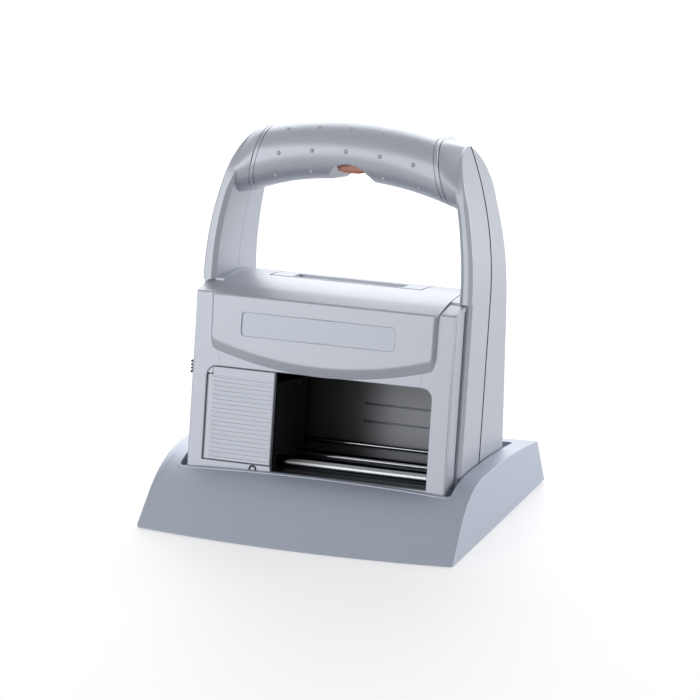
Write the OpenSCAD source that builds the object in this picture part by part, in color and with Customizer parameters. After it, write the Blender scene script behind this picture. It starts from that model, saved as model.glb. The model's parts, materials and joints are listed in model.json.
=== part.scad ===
// Handheld inkjet printer standing in its charging cradle.
// Millimetres, +Z up, origin on the desk under the middle of the cradle.
// The printer is drawn upright in its own frame, x right, y back from its front plane and
// z up from where that plane meets the desk, and dock() leans it back into the cradle.

/* [Stance] */
// Lean of the docked printer from upright, degrees
lean = 10.5; // [8.5:0.5:10.5]
// From the foremost point of the cradle back to the printer's front plane
setback = 29.2; // [28.4:0.1:29.4]

/* [Cradle] */
// Width of the cradle at its foot
cradle_w = 158.4; // [154:0.2:176]
// Depth of the cradle at its foot
cradle_d = 141.7; // [141.5:0.1:150]
// How far the front edge bows out at its middle
bow = 5.9; // [3:0.1:9]
// Height of the rim's crest
rim_h = 29; // [27.5:0.5:31]
// Slope of the front ramp, degrees
ramp_deg = 45; // [40:1:50]
// Radius that rounds the ramp over into the rim
nose_r = 50; // [40:1:60]
// Radius of the rim's long fall to the back
tail_r = 478; // [350:1:600]
// How much the sides close in from foot to crest
side_draft = 1.8; // [0.5:0.1:3]
// How much the back leans in from foot to crest
back_draft = 10; // [6:0.5:13]
// Wall of the cradle moulding
cradle_wall = 2.4; // [1.8:0.1:3]
// Clearance between the printer and the pocket's sides
pocket_gap = 0.7; // [0.5:0.1:1.2]
// Room behind the printer in the pocket
pocket_back = 14.4; // [10:0.2:14.6]
// Height of the rubber feet
foot_h = 1.2; // [0.8:0.1:1.3]
// Radius of the rubber feet
foot_r = 5.5; // [4:0.5:7]
// Thickness of the base plate
base_t = 1.8; // [1.5:0.1:1.9]

/* [Housing] */
// Width of the front cover
face_w = 130; // [126:0.5:132]
// Thickness of the front cover's plate
face_t = 3; // [2.6:0.1:3.6]
// Depth of the front cover's side strips
strip_d = 12.4; // [6:0.2:13]
// Height of the sole above the desk, along the printer
sole_h = 24.4; // [24.3:0.1:25.2]
// Thickness of the sole frame
sole_t = 2; // [1.6:0.1:2.2]
// Thickness of the gliding strips under the sole
pad_t = 0.8; // [0.5:0.1:1]
// Height of the crowned top's highest line
crown_top = 117.2; // [115:0.2:121]
// Radius of the crowned top
crown_r = 117; // [85:1:130]
// Wall of the hood, the lid and the frames
wall = 2.4; // [2:0.1:2.8]
// Half width of the hood
hood_hw = 56.8; // [54:0.2:58]
// How far the hood's front panel stands proud
hood_proud = 2.75; // [2:0.05:3.2]
// Height of the hood's lower edge at its middle
hood_low = 73.9; // [73.5:0.1:78]
// Radius of the hood's lower edge
hood_edge_r = 186; // [150:1:260]
// Width of the hood's lower bevel
hood_bevel = 4.7; // [3:0.1:6]
// Width of the hood's side bevels
hood_side_bevel = 1.5; // [1.2:0.1:3.5]
// Width of the label place
badge_w = 77.2; // [60:0.2:90]
// Height of the label place
badge_h = 11.5; // [8:0.5:13]
// Depth of the label place
badge_deep = 0.6; // [0.4:0.1:1]

/* [Window and door] */
// Left edge of the front opening
open_x0 = -57.6; // [-58:0.1:-57]
// Line between the door and the window
open_mid = -22.7; // [-26:0.1:-20]
// Right edge of the front opening
open_x1 = 55.6; // [50:0.1:57]
// Lower edge of the window
open_low = 26.4; // [26.4:0.1:28]
// Upper edge of the front opening
open_top = 74; // [73.9:0.1:74]
// Corner radius of the front opening
open_r = 5; // [3:0.5:6]
// Lower edge of the door
door_low = 29.3; // [29:0.1:31]
// Running gap round the door and the lid
gap = 0.3; // [0.2:0.05:0.4]
// Radius of the door's hinge barrel
door_barrel_r = 1.4; // [1.3:0.05:1.45]
// Radius of the hinge pins
pin_r = 0.6; // [0.5:0.05:0.7]
// Spacing of the door's ribs
rib_pitch = 2.1; // [1.6:0.1:3]
// Depth of the grooves between the ribs
rib_deep = 0.45; // [0.3:0.05:0.6]

/* [Lid] */
// Left edge of the lid
lid_x0 = -40; // [-44:0.5:-36]
// Right edge of the lid
lid_x1 = 37; // [33:0.5:44]
// Front edge of the lid
lid_y0 = 29; // [27:0.5:32]
// Line of the lid's hinge
lid_hinge_y = 60; // [58:0.5:61]
// Radius of the lid's hinge barrel
lid_barrel_r = 1.5; // [1.3:0.1:1.7]
// Depth of the finger recess, front to back
recess_d = 5.5; // [4:0.5:8]

/* [Handle] */
// Seam between the front and rear frames
seam_y = 41; // [39:0.5:43]
// Front edge of the side panels
post_y0 = 14.2; // [13.5:0.1:15.5]
// Half width over the side panels
side_x = 67.6; // [66.6:0.1:68]
// Thickness of the side panels
panel_t = 6.2; // [5.8:0.1:7]
// Height where the side panels start to curve in
bend_h = 115; // [110:1:122]
// Radius of that curve
side_r = 175; // [150:1:220]
// Height where the posts' front starts to lean back
post_lean_h = 132; // [122:1:145]
// Radius of that lean
post_lean_r = 250; // [180:5:400]
// Back of the housing at the sole
back_low = 78.5; // [77:0.5:82]
// Back of the housing at the crown
back_high = 67; // [66:0.5:70]
// Height of the grip's middle line
grip_h = 179.6; // [172:0.2:190]
// Radius of the grip's arch
arch_r = 170; // [150:1:220]
// Half height of the grip
grip_r = 13.8; // [13:0.1:14.2]
// Front to back between the centres of the grip's round edges
grip_flat = 19; // [12:0.5:21]
// Half length of the grip sleeve
sleeve_hl = 43.5; // [36:0.5:45]
// Wall of the grip sleeve
sleeve_t = 2.5; // [2:0.1:3]
// Radius of the shoulders between grip and panels
shoulder_r = 14; // [10:0.5:18]
// Radius of the dimples' nubs
nub_r = 1; // [0.7:0.1:1.4]

/* [Trigger] */
// Height of the scallop over the trigger
scallop_top = 173.5; // [172.8:0.1:174]
// Radius of the scallop
scallop_r = 12.4; // [11.5:0.1:13]
// Half width of the trigger
trigger_hw = 7; // [6:0.1:7]
// Travel of the trigger
trigger_travel = 2.5; // [1.5:0.1:3]

/* [Print engine] */
// Half width over the chassis side plates
chassis_hw = 60.2; // [59.8:0.1:60.6]
// Thickness of the chassis plates
chassis_t = 1.5; // [1.2:0.1:2]
// Radius of the front guide rod
front_rod_r = 3.3; // [2.8:0.1:3.5]
// Front guide rod, back from the front plane
front_rod_y = 14.5; // [14:0.1:15.5]
// Radius of the rear guide rod
rear_rod_r = 2.5; // [2:0.1:2.8]
// Rear guide rod, back from the front plane
rear_rod_y = 42; // [41.5:0.1:43]
// Radius of the thin scale rod
scale_rod_r = 1.1; // [0.8:0.1:1.3]
// Clearance of a running fit, on the radius
run_fit = 0.05; // [0.03:0.01:0.08]
// Width of the carriage
carriage_w = 32; // [31:0.2:33]
// Left side of the carriage at rest
carriage_x0 = -56.4; // [-57:0.1:-56]
// Pitch radius of the belt pulleys
pulley_r = 5.6; // [5:0.1:5.8]
// Thickness of the timing belt
belt_t = 1.2; // [0.9:0.1:1.3]
// Width of the timing belt
belt_w = 5; // [4:0.5:5]
// Distance of the pulleys from the middle
pulley_x = 51.5; // [50:0.1:51.6]
// Pulleys, back from the front plane
pulley_y = 50.4; // [50:0.1:51]
// Radius of the motor's can
motor_r = 6.8; // [6:0.1:6.9]
// Height of the deck over the print bay
deck_h = 82; // [81:0.5:84]

/* [Hidden] */

$fn = 48;
// Overshoot of cuts
eps = 1;
// Clearance between pieces that sit in one another without moving
sit = 0.1;
// A length longer than the object, for cutting
far = 300;

// Points along an arc
function arc(c, r, a0, a1, n) =
  [for (i = [0:n]) let (a = a0 + (a1 - a0) * i / n) c + r * [cos(a), sin(a)]];
// The upper of the two points where two circles meet
function meet(c0, r0, c1, r1) =
  let (d = norm(c1 - c0),
       u = (c1 - c0) / d,
       a = (d * d + r0 * r0 - r1 * r1) / (2 * d),
       h = sqrt(r0 * r0 - a * a))
  c0 + a * u + h * [-u[1], u[0]];
// Height of the crowned top, set in by t
function crown(y, t = 0) = crown_top - crown_r + sqrt(pow(crown_r - t, 2) - pow(y - seam_y, 2));
// Back of the housing at a height
function back(h) = back_low + (back_high - back_low) * (h - sole_h) / (bend_h - sole_h);

// Placing: the leaning printer, and plane outlines carried along an axis
module dock() translate([0, front_y, 0]) rotate([-lean, 0, 0]) children();
module along_y(y0, y1) translate([0, y1, 0]) rotate([90, 0, 0]) linear_extrude(y1 - y0) children();
module along_x(x0, x1) translate([x0, 0, 0]) rotate([90, 0, 90]) linear_extrude(x1 - x0) children();
module rod_x(x0, x1, y, z, r) translate([x0, y, z]) rotate([0, 90, 0]) cylinder(h = x1 - x0, r = r);
module rod_y(y0, y1, x, z, r) translate([x, y0, z]) rotate([-90, 0, 0]) cylinder(h = y1 - y0, r = r);
module block(p0, p1) translate(p0) cube(p1 - p0);
module both_sides() { children(); mirror([1, 0, 0]) children(); }

// Cradle places
front_y = setback - cradle_d / 2;
bow_r = (cradle_w * cradle_w / 4 + bow * bow) / (2 * bow);
bow_y = bow_r - cradle_d / 2;
ramp_top = rim_h - nose_r * (1 - cos(ramp_deg));
crest_y = (ramp_top - foot_h) / tan(ramp_deg) - cradle_d / 2 + nose_r * sin(ramp_deg);
base_top = foot_h + base_t;
dock_gap = 0.1;
floor_h = sole_h - pad_t - dock_gap;
pocket_hw = side_x + pocket_gap;
jack_in = 4.4;
jack_bore_l = 8;
jack_floor = 1.4;
inlet_room = jack_in + jack_bore_l + jack_floor + cradle_wall + 2 * sit;
pocket_end = min(front_y + (back_low + pocket_back) * cos(lean) + sole_h * sin(lean),
  cradle_d / 2 - inlet_room);
foot_in = 15;
foot_front = 23;
foot_back = 13;
foot_x = cradle_w / 2 - foot_in;
foot_front_y = foot_front - cradle_d / 2;
foot_back_y = cradle_d / 2 - foot_back;
foot_dish = 0.4;
boss_r = 3.2;
screw_x = foot_x - foot_r - boss_r - gap;
screw_front = 18;
screw_back = 9.3;
screw_front_y = screw_front - cradle_d / 2;
screw_back_y = cradle_d / 2 - screw_back;
cradle_screw_r = 1.4;
cradle_screw_l = 7;
head_r = 2.5;
head_t = 1.2;
hex_r = 1;
hex_deep = 0.8;
contact_x = 8;
contact_y = 60;
contact_t = 0.8;
contact_r = 2.2;
tip_r = 1;
tip_flange_r = 1.6;
tip_flange_t = 1;
tip_gap = 0.15;
jack_x = 40;
jack_w = 10;
jack_bore_r = 2.75;
board_t = 1.6;

// The hump's outline across the cradle, set in by w, from z0 up
function hump_pts(w, z0) =
  let (c = [crest_y, rim_h - nose_r], p = c + (nose_r - w) * [-sin(ramp_deg), cos(ramp_deg)],
       end = asin((cradle_d / 2 - crest_y + eps) / tail_r))
  concat([[p[0] - (p[1] - z0) / tan(ramp_deg), z0]],
    arc(c, nose_r - w, 90 + ramp_deg, 90, 10),
    arc([crest_y, rim_h - tail_r], tail_r - w, 90, 90 - end, 6),
    [[cradle_d / 2 + eps, z0]]);

// The hump: the outline swept on the bow, between the drafted sides and the leaning back
module hump(w, z0) {
  sweep = asin(cradle_w / 2 / (bow_r - cradle_d)) + 1;
  intersection() {
    translate([0, bow_y, 0]) rotate([0, 0, -90 - sweep]) rotate_extrude(angle = 2 * sweep, $fn = 180)
      polygon([for (p = hump_pts(w, z0)) [bow_y - p[0], p[1]]]);
    along_y(-far, far) polygon([[w - cradle_w / 2, z0], [cradle_w / 2 - w, z0],
      [cradle_w / 2 - w - side_draft, rim_h + z0], [w + side_draft - cradle_w / 2, rim_h + z0]]);
    along_x(-far, far) polygon([[-far, z0], [cradle_d / 2 - w, z0],
      [cradle_d / 2 - w - back_draft, rim_h + z0], [-far, rim_h + z0]]);
  }
}

// The leaning pocket, grown by g
module pocket(g) intersection() {
  dock() block([-pocket_hw - g, -pocket_gap - g, floor_h - g], [pocket_hw + g, far, far]);
  block([-far, -far, -far], [far, pocket_end + g, far]);
}

module at_corners(x, y0, y1) for (i = [-x, x], j = [y0, y1]) translate([i, j, 0]) children();
module at_cradle_screws() at_corners(screw_x, screw_front_y, screw_back_y) children();
module at_feet() at_corners(foot_x, foot_front_y, foot_back_y) children();
module at_contacts() for (x = [-contact_x, contact_x]) translate([x, contact_y, 0]) children();

module cradle_shell() color("#8f97a5") difference() {
  union() {
    difference() {
      hump(0, foot_h);
      difference() {
        hump(cradle_wall, foot_h - eps);
        pocket(cradle_wall);
      }
    }
    intersection() {
      at_cradle_screws() translate([0, 0, base_top + sit]) cylinder(h = far, r = boss_r);
      hump(cradle_wall / 2, foot_h);
    }
  }
  pocket(0);
  at_cradle_screws() cylinder(h = base_top + cradle_screw_l + eps, r = cradle_screw_r + sit);
  dock() at_contacts() cylinder(h = far, r = tip_r + gap);
  block([jack_x - jack_w / 2 - gap, pocket_end + cradle_wall + sit, base_top - eps],
    [jack_x + jack_w / 2 + gap, far, base_top + jack_w + gap]);
}

base_front = hump_pts(cradle_wall, base_top)[0][0];
base_hw = cradle_w / 2 - cradle_wall - side_draft * base_t / rim_h - gap;
base_back = cradle_d / 2 - cradle_wall - back_draft * base_t / rim_h - gap;
cradle_board_hw = 25;
cradle_board_in = 12;
cradle_board_d = 28;
stud_h = 3;
cradle_board_y0 = front_y + cradle_board_in;
cradle_board_y1 = cradle_board_y0 + cradle_board_d;
cradle_board_z = base_top + stud_h;
cradle_board_top = cradle_board_z + board_t;
stud_in = 4;
stud_r = 2.5;
module at_studs()
  at_corners(cradle_board_hw - stud_in, cradle_board_y0 + stud_in, cradle_board_y1 - stud_in) children();

module cradle_base_plate() color("#3f444c") difference() {
  union() {
    translate([0, 0, foot_h]) linear_extrude(base_t) intersection() {
      translate([0, bow_y]) circle(r = bow_y - base_front - gap, $fn = 180);
      translate([-base_hw, -far]) square([2 * base_hw, far + base_back]);
    }
    at_studs() translate([0, 0, foot_h]) cylinder(h = cradle_board_z - foot_h, r = stud_r);
  }
  at_cradle_screws() cylinder(h = far, r = cradle_screw_r + sit);
  at_cradle_screws() cylinder(h = foot_h + sit + head_t, r = head_r + gap);
}

module cradle_feet() color("#26282c") at_feet() difference() {
  cylinder(h = foot_h, r = foot_r);
  translate([0, 0, -eps]) cylinder(h = eps + foot_dish, r = foot_r / 2);
}

module cradle_screws() color("#9aa0a6") at_cradle_screws() difference() {
  union() {
    translate([0, 0, foot_h + sit]) cylinder(h = head_t, r = head_r);
    translate([0, 0, foot_h + sit]) cylinder(h = base_t + cradle_screw_l, r = cradle_screw_r);
  }
  translate([0, 0, foot_h]) cylinder(h = hex_deep, r = hex_r, $fn = 6);
}

// On the board: the charging chip, a coil and a capacitor, in a row across its middle
cradle_chip_w = 9;
cradle_chip_t = 1.4;
coil_w = 6;
coil_t = 2;
cap_r = 2.5;
cap_h = 4;
cradle_row_x = 12;
cradle_row_y = (cradle_board_y0 + cradle_board_y1) / 2;
module on_row(x, w, t) translate([x - w / 2, cradle_row_y - w / 2, cradle_board_top]) cube([w, w, t]);
module cradle_circuit_board() color("#2e6b45") {
  block([-cradle_board_hw, cradle_board_y0, cradle_board_z],
    [cradle_board_hw, cradle_board_y1, cradle_board_top]);
  on_row(-cradle_row_x, cradle_chip_w, cradle_chip_t);
  on_row(0, coil_w, coil_t);
  translate([cradle_row_x, cradle_row_y, cradle_board_top]) cylinder(h = cap_h, r = cap_r);
}

// Contact block under the pocket's floor, with a sprung pin in each of its two wells
block_hy = 4;
block_end = 5;
block_top = floor_h - cradle_wall;
block_t = 4.6;
well_floor = 0.8;
block_low = block_top - block_t;
well_low = block_low + well_floor;
well_h = 3;
tip_flange_low = well_low + well_h - tip_flange_t - 2 * sit;
module contact_block() color("#33363c") dock() difference() {
  block([-contact_x - block_end, contact_y - block_hy, block_low],
    [contact_x + block_end, contact_y + block_hy, block_top]);
  at_contacts() translate([0, 0, well_low]) cylinder(h = far, r = tip_r + run_fit);
  at_contacts() translate([0, 0, well_low]) cylinder(h = well_h, r = tip_flange_r + run_fit);
}
module charge_pin(x) color("#c9a860") dock() translate([x, contact_y, 0]) {
  translate([0, 0, tip_flange_low]) cylinder(h = sole_h - tip_gap - tip_flange_low, r = tip_r);
  translate([0, 0, tip_flange_low]) cylinder(h = tip_flange_t, r = tip_flange_r);
}
module charge_pin_left() charge_pin(-contact_x);
module charge_pin_right() charge_pin(contact_x);

jack_y1 = cradle_d / 2 - jack_in;
module power_jack() color("#202226") difference() {
  block([jack_x - jack_w / 2, pocket_end + cradle_wall + 2 * sit, base_top],
    [jack_x + jack_w / 2, jack_y1, base_top + jack_w]);
  rod_y(jack_y1 - jack_bore_l, jack_y1 + eps, jack_x, base_top + jack_w / 2, jack_bore_r);
}

// Printer outlines
face_hw = face_w / 2;
post_y1 = back_high;
cheek_y1 = post_y0 - gap;
cheek_low = 0.8;
cheek_h = crown(0) - cheek_low;
strip_steps = 6;

// A strip under the crowned top between two depths, t thick, sunk by s
module crown_strip(y0, y1, t, s = 0) {
  a0 = acos((y0 - seam_y) / (crown_r - s));
  a1 = acos((y1 - seam_y) / (crown_r - s));
  c = [seam_y, crown_top - crown_r];
  top = arc(c, crown_r - s, a0, a1, 16);
  low = [for (p = top) [p[0], crown(p[0], t + s)]];
  polygon(concat(top, [for (i = [16:-1:0]) low[i]]));
}

// The front opening, set in by s: the door's part has a higher sill
module opening(s = 0) polygon(concat(
  [[open_x0 + s, door_low - gap + s]],
  arc([open_x0 + open_r, open_top - open_r], open_r - s, 180, 90, 8),
  arc([open_x1 - open_r, open_top - open_r], open_r - s, 90, 0, 8),
  [[open_x1 - s, open_low + s], [open_mid, open_low + s], [open_mid, door_low - gap + s]]));

switch_y = 6;
switch_h = 72;
knob_hd = 2;
knob_hh = 3;
knob_out = 2.6;
switch_travel = 3;
strip_t = 2.4;
pin_end = 2.8;
door_axis = [open_x0 + gap + door_barrel_r, face_t / 2];
access_x = -31.3;
access_h = 26.8;
access_r = 1.8;

module front_cover() color("#a9b0bb") dock() difference() {
  union() {
    intersection() {
      along_y(0, face_t) polygon([[-face_hw, sole_h], [face_hw, sole_h], [face_hw, cheek_h],
        [hood_hw + gap, cheek_h], [hood_hw + gap, crown(0, wall + gap)],
        [-hood_hw - gap, crown(0, wall + gap)], [-hood_hw - gap, cheek_h], [-face_hw, cheek_h]]);
      along_x(-far, far) polygon([[-eps, 0], [-eps, cheek_h], [0, cheek_h],
        [face_t, crown(face_t) - cheek_low], [face_t + eps, 0]]);
    }
    both_sides() intersection() {
      block([face_hw - strip_t, 0, sole_h], [face_hw, strip_d, far]);
      along_x(0, far) polygon(concat([[-eps, 0]],
        [for (i = [0:strip_steps]) let (y = strip_d * i / strip_steps) [y, crown(y) - cheek_low]],
        [[strip_d, 0]]));
    }
    both_sides() along_x(hood_hw + gap, face_hw) crown_strip(0, cheek_y1, wall, cheek_low);
  }
  along_y(-eps, face_t + eps) opening();
  translate([door_axis[0], door_axis[1], door_low - pin_end - 2 * sit])
    cylinder(h = open_top - door_low + 2 * pin_end + 4 * sit, r = pin_r + run_fit);
  rod_y(-eps, face_t + eps, access_x, access_h, access_r);
  block([-face_hw - eps, switch_y - knob_hd - sit, switch_h - knob_hh - sit],
    [strip_t + eps - face_hw, switch_y + knob_hd + sit, switch_h + knob_hh + switch_travel + sit]);
}

// The hood's front panel: its lower bevel is a cone about the middle of the edge's arc
hood_c = hood_low + hood_edge_r;
hood_back = post_y1 - wall - gap;
badge_x = -1.85;
badge_z = 95.5;
lid_hinge_h = crown(lid_hinge_y) - lid_barrel_r;
lid_ear = 4;
ear_hd = 2.2;
ear_low = lid_hinge_h - ear_hd;
lid_pin_in = 1;
recess_front = 2.3;
recess_left = 11;
recess_right = 10.5;
recess_y = lid_y0 + recess_front;
recess_x0 = lid_x0 + recess_left;
recess_x1 = lid_x1 - recess_right;
recess_deep = 1.4;
module hood_panel() intersection() {
  translate([0, 0, hood_c]) rotate([90, 0, 0]) rotate_extrude($fn = 180) polygon([[hood_edge_r, 0],
    [hood_edge_r - hood_bevel, hood_proud], [hood_edge_r / 2, hood_proud], [hood_edge_r / 2, 0]]);
  linear_extrude(far) polygon([[-hood_hw, 0], [hood_hw, 0], [hood_hw - hood_side_bevel, -hood_proud],
    [hood_side_bevel - hood_hw, -hood_proud]]);
  along_x(-far, far) polygon([[-far, 0], [-hood_proud, crown(-hood_proud)], [0, crown(0)], [far, 0]]);
}
module hood() color("#b4bac4") dock() difference() {
  union() {
    hood_panel();
    along_x(-hood_hw, hood_hw) crown_strip(0, hood_back, wall);
    for (x = [lid_x0 - gap - lid_ear, lid_x1 + gap])
      along_x(x, x + lid_ear) polygon([[lid_hinge_y - ear_hd, ear_low], [lid_hinge_y + ear_hd, ear_low],
        [lid_hinge_y + ear_hd, crown(lid_hinge_y + ear_hd, wall / 2)],
        [lid_hinge_y - ear_hd, crown(lid_hinge_y - ear_hd, wall / 2)]]);
  }
  block([lid_x0 - gap, lid_y0 - gap, 0], [lid_x1 + gap, lid_hinge_y + lid_barrel_r + gap, far]);
  rod_x(lid_x0 - gap - lid_ear + lid_pin_in - 2 * sit, lid_x1 + gap + lid_ear - lid_pin_in + 2 * sit,
    lid_hinge_y, lid_hinge_h, pin_r + run_fit);
  block([badge_x - badge_w / 2, -hood_proud - eps, badge_z - badge_h / 2],
    [badge_x + badge_w / 2, badge_deep - hood_proud, badge_z + badge_h / 2]);
}
module badge_plate() color("#c6cad1") dock()
  block([badge_x - badge_w / 2 + sit, badge_deep / 3 - hood_proud, badge_z - badge_h / 2 + sit],
    [badge_x + badge_w / 2 - sit, badge_deep - hood_proud, badge_z + badge_h / 2 - sit]);

module battery_lid() color("#b4bac4") dock() difference() {
  union() {
    along_x(lid_x0, lid_x1) crown_strip(lid_y0, lid_hinge_y, wall);
    rod_x(lid_x0, lid_x1, lid_hinge_y, lid_hinge_h, lid_barrel_r);
  }
  along_x(recess_x0, recess_x1) crown_strip(recess_y, recess_y + recess_d, recess_deep + eps, -eps);
  rod_x(lid_x0 - eps, lid_x1 + eps, lid_hinge_y, lid_hinge_h, pin_r + run_fit);
}
module lid_hinge_pin() color("#8d9299") dock()
  rod_x(lid_x0 - gap - lid_ear + lid_pin_in, lid_x1 + gap + lid_ear - lid_pin_in,
    lid_hinge_y, lid_hinge_h, pin_r);

// The door: a plate with grooves between its ribs, a hinge barrel along its left edge
rib_in = 2.8;
rib_x0 = door_axis[0] + door_barrel_r + 2 * gap;
rib_x1 = open_mid - rib_in;
rib_top = open_top - rib_in;
rib_count = floor((rib_top - door_low) / rib_pitch);
barrel_top = open_top - open_r - gap;
plate_x0 = door_axis[0] + door_barrel_r + gap;
module cartridge_door() color("#aab1bc") dock() difference() {
  union() {
    along_y(sit, face_t - sit) intersection() {
      opening(gap);
      union() {
        translate([door_axis[0], 0]) square([open_mid - gap - door_axis[0], barrel_top]);
        translate([plate_x0, 0]) square([open_mid - gap - plate_x0, far]);
      }
    }
    translate([door_axis[0], door_axis[1], door_low + gap])
      cylinder(h = barrel_top - door_low - gap, r = door_barrel_r);
  }
  for (i = [0:rib_count - 1])
    translate([rib_x0, sit - eps, rib_top - rib_pitch * (i + 0.5)])
      cube([rib_x1 - rib_x0, eps + rib_deep, rib_pitch / 2]);
  translate([door_axis[0], door_axis[1], 0]) cylinder(h = far, r = pin_r + run_fit);
}
module door_hinge_pin() color("#8d9299") dock()
  translate([door_axis[0], door_axis[1], door_low - pin_end])
    cylinder(h = open_top - door_low + 2 * pin_end, r = pin_r);

// The handle. Front view: straight panels that curve in, shoulders, and the arch of the grip
side_c = [side_x - side_r, bend_h];
arch_c = [0, grip_h - arch_r];
grip_y0 = post_y0 + grip_r;
grip_y1 = grip_y0 + grip_flat;
shoulder_c = meet(side_c, side_r - shoulder_r, arch_c, arch_r + grip_r - shoulder_r);
shoulder_a0 = atan2(shoulder_c[1] - side_c[1], shoulder_c[0] - side_c[0]);
shoulder_a1 = atan2(shoulder_c[1] - arch_c[1], shoulder_c[0] - arch_c[0]);
// Right half of the outline, set in by w
function frame_half(w) = concat([[side_x - w, sole_h - eps]],
  arc(side_c, side_r - w, 0, shoulder_a0, 10),
  arc(shoulder_c, shoulder_r - w, shoulder_a0, shoulder_a1, 8),
  arc(arch_c, arch_r + grip_r - w, shoulder_a1, 90, 8));
module frame_outline(w) {
  half = frame_half(w);
  n = len(half);
  polygon(concat(half, [for (i = [n - 1:-1:0]) [-half[i][0], half[i][1]]]));
}
// Between the panels, grown by w: their inner faces run on to a point over the arch
module frame_inside(w) {
  top_a = acos((side_r - side_x) / (side_r - panel_t + w));
  half = concat([[side_x - panel_t + w, 0]], arc(side_c, side_r - panel_t + w, 0, top_a, 20));
  n = len(half);
  polygon(concat(half, [for (i = [n - 2:-1:0]) [-half[i][0], half[i][1]]]));
}
// Side view of the panels, set in by w
panel_drop = 6;
panel_top = grip_h - panel_drop;
lean_a = asin((panel_top - post_lean_h) / (post_lean_r - grip_r));
lean_y = post_y0 + post_lean_r - (post_lean_r - grip_r) * cos(lean_a);
knee = [2, 35];
module panel_side(w) polygon(concat([[post_y0 + w, sole_h]],
  arc([post_y0 + post_lean_r, post_lean_h], post_lean_r - w, 180, 180 - lean_a, 10),
  arc([lean_y, panel_top], grip_r - w, 180 - lean_a, 90, 8),
  arc([grip_y1, panel_top], grip_r - w, 90, 0, 8),
  [[post_y1 - knee[0] - w, bend_h + knee[1]], [post_y1 - w, bend_h], [back(sole_h) - w, sole_h]]));
module panels(w) intersection() {
  along_y(0, far) difference() { frame_outline(w); frame_inside(w); }
  along_x(-far, far) panel_side(w);
}
// The grip's oval carried round its arch
module grip_arch(r, half_l) {
  half = asin(half_l / arch_r);
  translate([0, 0, arch_c[1]]) rotate([-90, 0, 0]) rotate([0, 0, -90 - half])
    rotate_extrude(angle = 2 * half, $fn = 180) translate([arch_r, 0]) {
      translate([0, grip_y0]) circle(r = r);
      translate([0, grip_y1]) circle(r = r);
      translate([-r, grip_y0]) square([2 * r, grip_flat]);
    }
}
trigger_x = 0.5;
module scallop() rod_y(0, far, trigger_x, scallop_top - scallop_r, scallop_r);

// Clearance of pieces pressed together, on the radius
press = 0.02;
screw_h = [36, 99];
frame_screw_x = side_x - panel_t / 2;
frame_screw_r = 1;
frame_head_r = 2.2;
frame_head_t = 1.6;
screw_bite = 12;
head_y = back_high - 10;
panel_wall = 1.6;
core_r = grip_r - sleeve_t - sit;
core_wall = 2;
neck_x = side_x - 5;
socket_x = 38;
socket_hw = 8;
socket_hh = 4;
socket_h = 44;
module at_frame_screws()
  for (x = [-frame_screw_x, frame_screw_x], h = screw_h) translate([x, 0, h]) children();
module handle_solid() difference() {
  union() {
    difference() {
      union() {
        difference() {
          panels(0);
          panels(panel_wall);
        }
        intersection() {
          grip_arch(grip_r, neck_x);
          along_y(0, far) frame_outline(panel_wall / 2);
        }
      }
      grip_arch(grip_r + eps, sleeve_hl + gap);
    }
    intersection() {
      grip_arch(core_r, neck_x);
      along_y(0, far) frame_outline(panel_wall / 2);
    }
    intersection() {
      panels(panel_wall / 4);
      at_frame_screws() rod_y(seam_y - screw_bite - 4, far, 0, 0, panel_t);
    }
    both_sides() along_x(hood_hw + gap, side_x - panel_t + panel_wall / 2)
      crown_strip(post_y0, hood_back, wall);
  }
  intersection() {
    grip_arch(core_r - core_wall, neck_x);
    along_y(0, far) frame_outline(panel_wall + 1);
  }
  scallop();
  at_frame_screws() {
    rod_y(seam_y - screw_bite - 2, seam_y + eps, 0, 0, frame_screw_r + press);
    rod_y(seam_y, far, 0, 0, frame_screw_r + gap);
    rod_y(head_y, far, 0, 0, frame_head_r + sit);
  }
}
module handle_frame_front() color("#a3abb8") dock() intersection() {
  handle_solid();
  block([-far, 0, 0], [far, seam_y, far]);
}
back_top = crown(back_high) - gap;
back_step = 0.2;
module handle_frame_rear() color("#a3abb8") dock() {
  intersection() {
    handle_solid();
    block([-far, seam_y, 0], [far, far, far]);
  }
  difference() {
    along_x(-frame_screw_x, frame_screw_x) polygon([[back(sole_h) - wall, sole_h],
      [back(sole_h) - back_step, sole_h], [back(back_top) - back_step, back_top],
      [back(back_top) - wall, back_top]]);
    at_frame_screws() rod_y(head_y, far, 0, 0, frame_head_r + sit);
    block([socket_x - socket_hw - sit, 0, socket_h - socket_hh - sit],
      [socket_x + socket_hw + sit, far, socket_h + socket_hh + sit]);
  }
}
module housing_screws() color("#8d9299") dock() at_frame_screws() difference() {
  union() {
    rod_y(seam_y - screw_bite, head_y + eps, 0, 0, frame_screw_r);
    rod_y(head_y, head_y + frame_head_t, 0, 0, frame_head_r);
  }
  translate([0, head_y + frame_head_t + eps, 0]) rotate([90, 0, 0])
    cylinder(h = hex_deep + eps, r = hex_r, $fn = 6);
}

// The sleeve with its three rows of dimples
nub_step = 17;
nub_deep = 0.55;
nub_rows = [0, 52, -48];
nub_turn = nub_step / arch_r * 180 / PI;
nub_seat = grip_r - nub_deep;
module grip_sleeve() color("#b0b7c2") dock() difference() {
  union() {
    difference() {
      grip_arch(grip_r, sleeve_hl);
      grip_arch(grip_r - sleeve_t, sleeve_hl + eps);
    }
    for (row = nub_rows, i = [-2:2])
      if (row >= 0 || i != 0)
        translate([0, grip_y0, arch_c[1]]) rotate([0, i * nub_turn, 0])
          translate([0, -nub_seat * cos(row), arch_r + nub_seat * sin(row)]) sphere(r = nub_r, $fn = 24);
  }
  scallop();
}

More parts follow.
